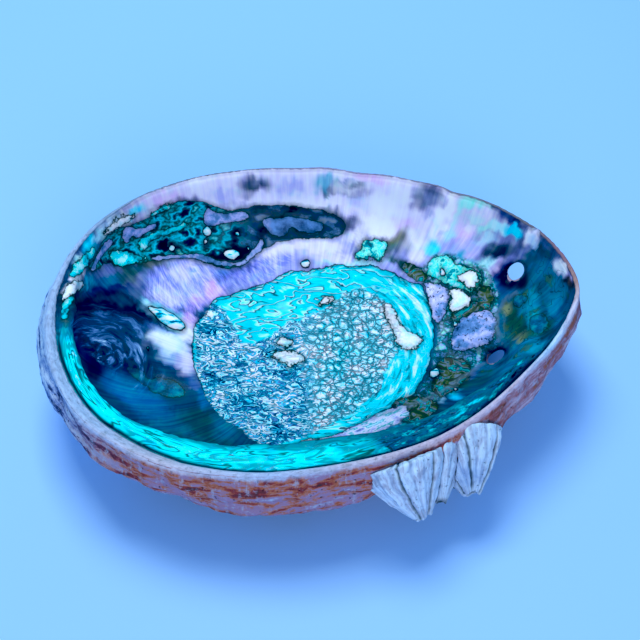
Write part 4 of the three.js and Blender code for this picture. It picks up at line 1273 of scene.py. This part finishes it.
cell_fill = stain(cell_fill, "azure", clumps, 0.12)
# The middle of each bubble is painted white: a painted highlight on the bubbles.
bubble_glints = times(step(cells.outputs["Distance"], 0.16, 0.4), to_bubbles)
cell_fill = stain(cell_fill, "pearl_white", bubble_glints, 0.85)
seam_colour = stain(colour_of("navy"), "deep_sea", to_bubbles)
cell_fill = blend(times(crack, 0.85), cell_fill, seam_colour)
rough_share = step(plus(field("rough"), shake), 0.6, -0.6)
nacre = blend(rough_share, nacre, cell_fill)
crack_depth = times(times(crack, rough_share), 0.6)
bump_height = minus(bump_height, crack_depth)
count_nodes("folds and bubbles of the scar")

# %% Nacre: the spire's swirl
swirl_place = field("swirl_way", "Vector")
upper_right = minus(times(part_of(swirl_place, "Y"), 0.18), times(part_of(swirl_place, "Z"), 0.21))
arcs = grain(swirl_place, 2.4, 5, 0.62, 0.5)
arc_fill = ramp(arcs, [(0.36, "navy"), (0.43, "deep_sea"), (0.49, "slate"), (0.54, "steel"),
                       (0.61, "haze"), (0.7, "frost")])
arc_share = times(step(field("hollow"), 0.0, -3.0), times(step(part_of(swirl_place, "X"), 24, 16),
                                                          step(upper_right, -0.3, 0.6)))
nacre = blend(times(arc_share, 0.85), nacre, arc_fill)
# The brow over the hollow is darkened with ink: painted shadow of the brow.
nacre = stain(nacre, "ink", field("brow"), 0.5)
count_nodes("the spire's swirl")

# %% Nacre: contour lines of the trough
trough_share = step(field("trough"), 0.5, -1.5)
trough_lines = place_group(contours, {"Value": grain(where, 9, 2), "Count": 7.0, "Width": 0.07})
line_share = times(times(trough_lines.outputs["Line"], trough_share), 0.75)
gold_share = times(step(grain(where, 7, 3), 0.56, 0.66), trough_share)
nacre = stain(nacre, "olive", gold_share, 0.6)
nacre = stain(nacre, "smoke", line_share, dim=0.6)
count_nodes("contour lines of the trough")

# %% Nacre: pale and dark islands
pool_grain = grain(where, 4.5, 2.5, 0.5, 1.0)
brown_fill = ramp(pool_grain, [(0.32, "bark"), (0.4, "moss"), (0.45, "olive"), (0.5, "grey"),
                               (0.54, "bottle"), (0.6, "turquoise"), (0.65, "olive"), (0.72, "haze")])
nacre = lay_island(nacre, brown_fill, "brown_pool", 0.4, 0.8, amount=1.0, height=-0.1)
bank_fill = ramp(growth_grain(0.12, 1, 1.6, 4), [(0.32, "steel"), (0.42, "lilac"), (0.49, "pale_lilac"),
                                                 (0.56, "turquoise"), (0.63, "frost")])
nacre = lay_island(nacre, bank_fill, "pink_bank", 0.3, 0.3, line="slate", amount=1.3)
lilac_fill = ramp(plus(times(broad, 0.6), times(middling, 0.4)),
                  [(0.36, "slate"), (0.42, "steel"), (0.47, "haze"), (0.53, "lilac"), (0.6, "pale_lilac"),
                   (0.7, "haze")])
specks = place_group(pitting, {"Place": where, "Size": 1.3, "Amount": 0.43}).outputs["Pits"]
lilac_fill = stain(lilac_fill, "ink", specks, 0.85)
nacre = lay_island(nacre, lilac_fill, "lilac_isle", 0.4, 0.9, amount=1.1, height=0.1)
cream_fill = ramp(middling, [(0.3, "ice"), (0.5, "pearl_white"), (0.7, "pearl_white")])
nacre = lay_island(nacre, cream_fill, "cream", 0.5, 1.0, amount=1.4, height=0.12)
pearl_fill = ramp(grain(scaled(where, (0.5, 1.2, 1)), 2.2, 3), [(0.36, "azure"), (0.43, "cyan"),
                                                                (0.5, "ice"), (0.6, "pearl_white")])
nacre = lay_island(nacre, pearl_fill, "pearl", 0.4, 1.0, line="ink", amount=0.2, height=0.1)
# The ridges by the holes and on the floor are painted grey: painted shading of the ridges.
nacre = stain(nacre, "grey", field("ridge"), 0.6)
count_nodes("pale and dark islands")

# %% Nacre: the shelf
across = field("across_shelf")
shelf_share = field("has_shelf")
front = part_of(growth_way, "X")
lobe_value = growth_grain(0.14, 0.9, 3.6, 2.5, 0.5, 0.6)
lobe = place_group(contours, {"Value": lobe_value, "Count": 3.6, "Width": 0.09})
bright_fill = ramp(growth_grain(0.4, 1, 2.6, 4), [(0.28, "turquoise"), (0.38, "cyan"), (0.54, "aqua"),
                                                  (0.66, "cyan"), (0.76, "ice")])
dark_fill = ramp(growth_grain(0.3, 1.2, 2.6, 5, 0.65), [(0.36, "ink"), (0.45, "azure"), (0.52, "slate"),
                                                        (0.59, "turquoise"), (0.67, "cyan"),
                                                        (0.76, "ice")])
brightness = step(plus(front, times(broad, 40)), 64, 40)
shelf_fill = blend(brightness, dark_fill, bright_fill)
lobe_seam = times(step(lobe.outputs["Sheet"], 0.62, 0.86), 0.6)
shelf_fill = stain(shelf_fill, "sea", lobe_seam)
shelf_fill = stain(shelf_fill, "moss", lobe.outputs["Line"], 0.8, dim=0.5)
deep_side = times(step(plus(across, times(lobe_value, 0.7)), 0.85, 1.25), 0.75)
shelf_fill = stain(shelf_fill, "sea", deep_side)
on_shelf = times(shelf_share, step(plus(across, times(shake, 0.03)), 1.08, 0.98))
nacre = blend(on_shelf, nacre, shelf_fill)
fold_shadow = times(shelf_share, step(maths("ABSOLUTE", minus(across, 1.1)), 0.16, 0.02))
nacre = stain(nacre, "ink", fold_shadow, 0.9)
count_nodes("the shelf")

# %% Nacre: deepen the darks
DEEPENING = 1.12
nacre = add("Gamma", {"Color": nacre, "Gamma": DEEPENING}).outputs["Color"]
count_nodes("deepen the darks")

# %% [markdown]
# ## The lip and the crust
#
# The lip is where the shell grows, so its bare edge shows the crust's own layers, from grey-white at the
# spire to pink at the growing end. Outside, brick-red and mauve growth bands run round it, under a chalky
# bloom of old sea growth.

# %% Lip
past_lip = field("past_lip")
lip_colour = field("lip_tint", "Color")
lip_grain = ramp(growth_grain(1, 3, 2.6, 4, 0.65), [(0.3, "smoke"), (0.46, "cloud"), (0.7, "bone_white")])
lip_colour = blend(0.5, lip_colour, lip_grain, "OVERLAY")
lip_colour = blend(0.14, lip_colour, colour_of("bone_white"))
# The groove between lip and nacre is darkened with ink, more where the shelf lies beside it: painted shade
# in the groove.
groove_shade = step(maths("ABSOLUTE", minus(past_lip, 0.35)), 1.1, 0.1)
lip_edge = step(plus(past_lip, times(shake, 0.3)), 0.1, -0.5)
inside_colour = blend(lip_edge, nacre, lip_colour)
groove_shade_strength = plus(times(shelf_share, 0.6), 0.35)
inside_colour = stain(inside_colour, "ink", times(groove_shade, groove_shade_strength))
count_nodes("lip")

# %% Crust
bands = growth_grain(0.05, 0.55, 1.5, 5, 0.65)
spokes = growth_grain(1, 0.12, 2.4, 5, 0.65)
crust_tone = plus(times(bands, 0.4), times(growth_grain(0.4, 1, 4.5, 6, 0.7), 0.6))
upper = step(past_lip, -17, -7)
crust_tone = minus(crust_tone, times(upper, 0.035))
crust_colour = ramp(crust_tone, [(0.36, "umber"), (0.42, "brick"), (0.465, "rust"), (0.505, "mauve"),
                                 (0.56, "mauve"), (0.62, "cloud"), (0.72, "chalk_white")])
spire_end = step(field("turned"), 128, 165)
spire_crust = ramp(crust_tone, [(0.4, "slate"), (0.44, "haze"), (0.5, "chalk_white"), (0.6, "bone_white")])
crust_colour = blend(times(spire_end, 0.85), crust_colour, spire_crust)
growing_end = step(field("turned"), 48, 12)
growing_crust = ramp(crust_tone, [(0.38, "rust"), (0.46, "mauve"), (0.53, "shell_pink"),
                                  (0.62, "chalk_white")])
crust_colour = blend(times(growing_end, 0.7), crust_colour, growing_crust)
bloom = step(plus(times(spokes, 0.6), times(grain(where, 2.2, 5, 0.7), 0.75)), 0.7, 0.86)
crust_colour = stain(crust_colour, "cloud", bloom, 0.6)
pits = place_group(pitting, {"Place": where, "Size": 1.6, "Amount": 0.36}).outputs["Pits"]
crust_colour = stain(crust_colour, "umber", pits, 0.7, dim=0.4)
below_lip = step(plus(past_lip, times(shake, 0.8)), -0.6, -2.6)
crust_colour = blend(below_lip, lip_colour, crust_colour)
nacre_side = step(field("nacre_side"), -0.3, 0.3)
whole = blend(nacre_side, crust_colour, inside_colour)
count_nodes("crust")

# %% Finish of the shell
NACRE_ROUGH, CRUST_ROUGH = 0.28, 0.85
COAT, COAT_ROUGH, SPECULAR = 0.03, 0.1, 0.03
polished = times(nacre_side, minus(1.0, lip_edge))
gloss = plus(times(polished, NACRE_ROUGH - CRUST_ROUGH), CRUST_ROUGH)
gloss = plus(gloss, times(fine, 0.08))
crust_bump = plus(times(fine, 0.5), times(bands, 0.6))
crust_bump = minus(crust_bump, times(pits, 0.35))
both = add("Mix", {0: polished, 2: crust_bump, 3: bump_height}, data_type="FLOAT").outputs[0]
set_inputs(surface, {
    "Base Color": whole,
    "Roughness": gloss,
    "Coat Weight": times(polished, COAT),
    "Coat Roughness": COAT_ROUGH,
    "Specular IOR Level": SPECULAR,
    "Normal": raised(both),
})
skin.data.materials.append(shell_material)
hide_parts("shell")
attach(skin, "root")
print("nodes in the shell's material:", len(tree.nodes))

# %% [markdown]
# ## The barnacles
#
# An acorn barnacle builds a cone of six limy plates and lives in it head down, with its mouth at the top.
# These four are dead and empty. The plates meet in dark cracks, and each plate is fluted from its mouth to
# its foot. The cones are copied from the solids, remeshed evenly and smoothed, so that fine flutes can be
# raised on them, and then every point is moved by where it stands around its cone's axis.

# %% Cones, as the solids have them
BARNACLES = {
    # solid: foot's middle, axis, plates, flutes, turn of the first crack in degrees, seed
    "barnacle_large": ((32.9, -61.7, 30), (0.34, -0.68, -0.65), 6, 21, 14, 31),
    "barnacle_wedge": ((45.9, -54.65, 27.5), (-0.05, -0.9, -0.42), 4, 13, 40, 32),
    "barnacle_right": ((53.9, -48.65, 27.5), (0.1, -0.9, -0.42), 6, 17, 5, 33),
    "barnacle_small": ((51.9, -49.7, 19), (-0.05, -0.75, -0.65), 6, 11, 25, 34),
}
CONE_VOXEL = 0.32 * MM
CRACK_DEPTH, CRACK_WIDTH, FLUTE_HEIGHT = 0.8, 0.45, 0.2


def around_axis(points, foot, axis):
    """Millimetres along a cone's axis, millimetres from it, and the angle round it."""
    along_axis = np.array(Vector(axis).normalized())
    aside = np.cross(along_axis, (1.0, 0.0, 0.0))
    aside /= np.linalg.norm(aside)
    third = np.cross(along_axis, aside)
    off = points - foot
    across, over = off @ aside, off @ third
    return off @ along_axis, np.hypot(across, over), np.arctan2(over, across)


def make_barnacle(solid, foot, axis, plates, flutes, first_crack, seed):
    """A barnacle's cone with its plates, cracks and flutes."""
    cone = copy_of_solid(solid, solid + "_cone")
    apply_modifier(cone, "REMESH", mode="VOXEL", voxel_size=CONE_VOXEL)
    apply_modifier(cone, "SMOOTH", factor=0.5, iterations=10)
    bpy.ops.object.shade_smooth()
    points, normals = points_of(cone), normals_of(cone)
    along, off_axis, angle = around_axis(points, foot, axis)
    angle = angle + 0.07 * wavy(points, 6, seed) + 0.012 * along * math.sin(seed)
    place = (angle - math.radians(first_crack)) * plates / (2 * math.pi)
    from_crack = np.abs(place - np.round(place)) * 2 * math.pi / plates * np.maximum(off_axis, 1)
    crack_gap = from_crack + 0.25 * wavy(points, 1.6, seed + 1)
    crack = soft_step(crack_gap, CRACK_WIDTH * 1.6, CRACK_WIDTH * 0.3)
    fluting = 0.5 + 0.5 * np.cos(angle * flutes + 1.6 * wavy(points * (1, 1, 0.5), 7, seed + 2))
    fluting = fluting ** 0.7 + 0.35 * wavy(np.stack((angle * 9, along * 0.12, off_axis * 0), axis=1), 1,
                                           seed + 3)
    ledges = 0.1 * wavy(np.stack((along, angle * 0.6, angle * 0), axis=1), 1.3, seed + 4)
    rise = FLUTE_HEIGHT * fluting + ledges - CRACK_DEPTH * crack + 0.3 * wavy(points, 3.4, seed + 5)
    at_mouth = soft_step(off_axis, 2.2, 4.2)
    move_points(cone, points + normals * (rise * at_mouth)[:, None])
    cone_way = round_way(angle, 8, along)
    fields = {"crack": crack * at_mouth, "flute": fluting, "off_axis": off_axis, "cone_way": cone_way}
    for name, values in fields.items():
        keep_field(cone, name, values)
    return cone


cones = [make_barnacle(solid, *facts) for solid, facts in BARNACLES.items()]
for cone in cones:
    print(counted(cone))

# %% [markdown]
# ## Chalk
#
# Dead barnacle plates are bare lime: matt, bluish white in this light, with dirt in the cracks and small
# bored holes. Their open mouths are painted dark, as painted shade. The holes are the same effect as on
# the crust, so the material places the same node group.

# %% Chalk
GREY_PATCH_PLACE = (54, -60, 26)  # where the right barnacle is greyest, in millimetres
chalk, surface = new_material("chalk")
where = millimetres()
cone_way = field("cone_way", "Vector")
fibres = grain(scaled(cone_way, (1.4, 1.4, 0.14)), 1.0, 5, 0.65)
mottle = grain(where, 3.5, 4, 0.6)
lime = ramp(plus(times(fibres, 0.6), times(mottle, 0.4)), [(0.3, "grey"), (0.42, "cloud"),
                                                           (0.52, "chalk_white"), (0.7, "bone_white")])
lime = stain(lime, "steel", step(field("flute"), 0.5, 0.0), 0.3)
# The right barnacle is painted greyer about one place.
grey_patch_gap = add("VectorMath", {0: where, 1: GREY_PATCH_PLACE}, operation="DISTANCE").outputs["Value"]
grey_patch = step(plus(grey_patch_gap, times(mottle, 6)), 12, 4)
lime = stain(lime, "haze", grey_patch, 0.6)
bored = place_group(pitting, {"Place": where, "Size": 1.1, "Amount": 0.36}).outputs["Pits"]
lime = stain(lime, "smoke", bored, 0.75)
cracked = field("crack")
lime = stain(lime, "smoke", cracked, 0.85, dim=0.6)
# Near the axis, in the cone's open mouth, the lime is painted dark: painted shade inside the empty cone.
mouth_shade = times(step(field("off_axis"), 2.6, 1.2), 0.9)
lime = stain(lime, "smoke", mouth_shade, dim=0.5)
chalk_height = minus(times(fibres, 0.6), times(bored, 0.4))
set_inputs(surface, {"Base Color": lime, "Roughness": step(fibres, -1.0, 0.9),
                     "Normal": raised(chalk_height)})
for cone, solid in zip(cones, BARNACLES):
    cone.data.materials.append(chalk)
    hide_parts(solid)
    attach(cone, "root")
count_nodes("chalk")
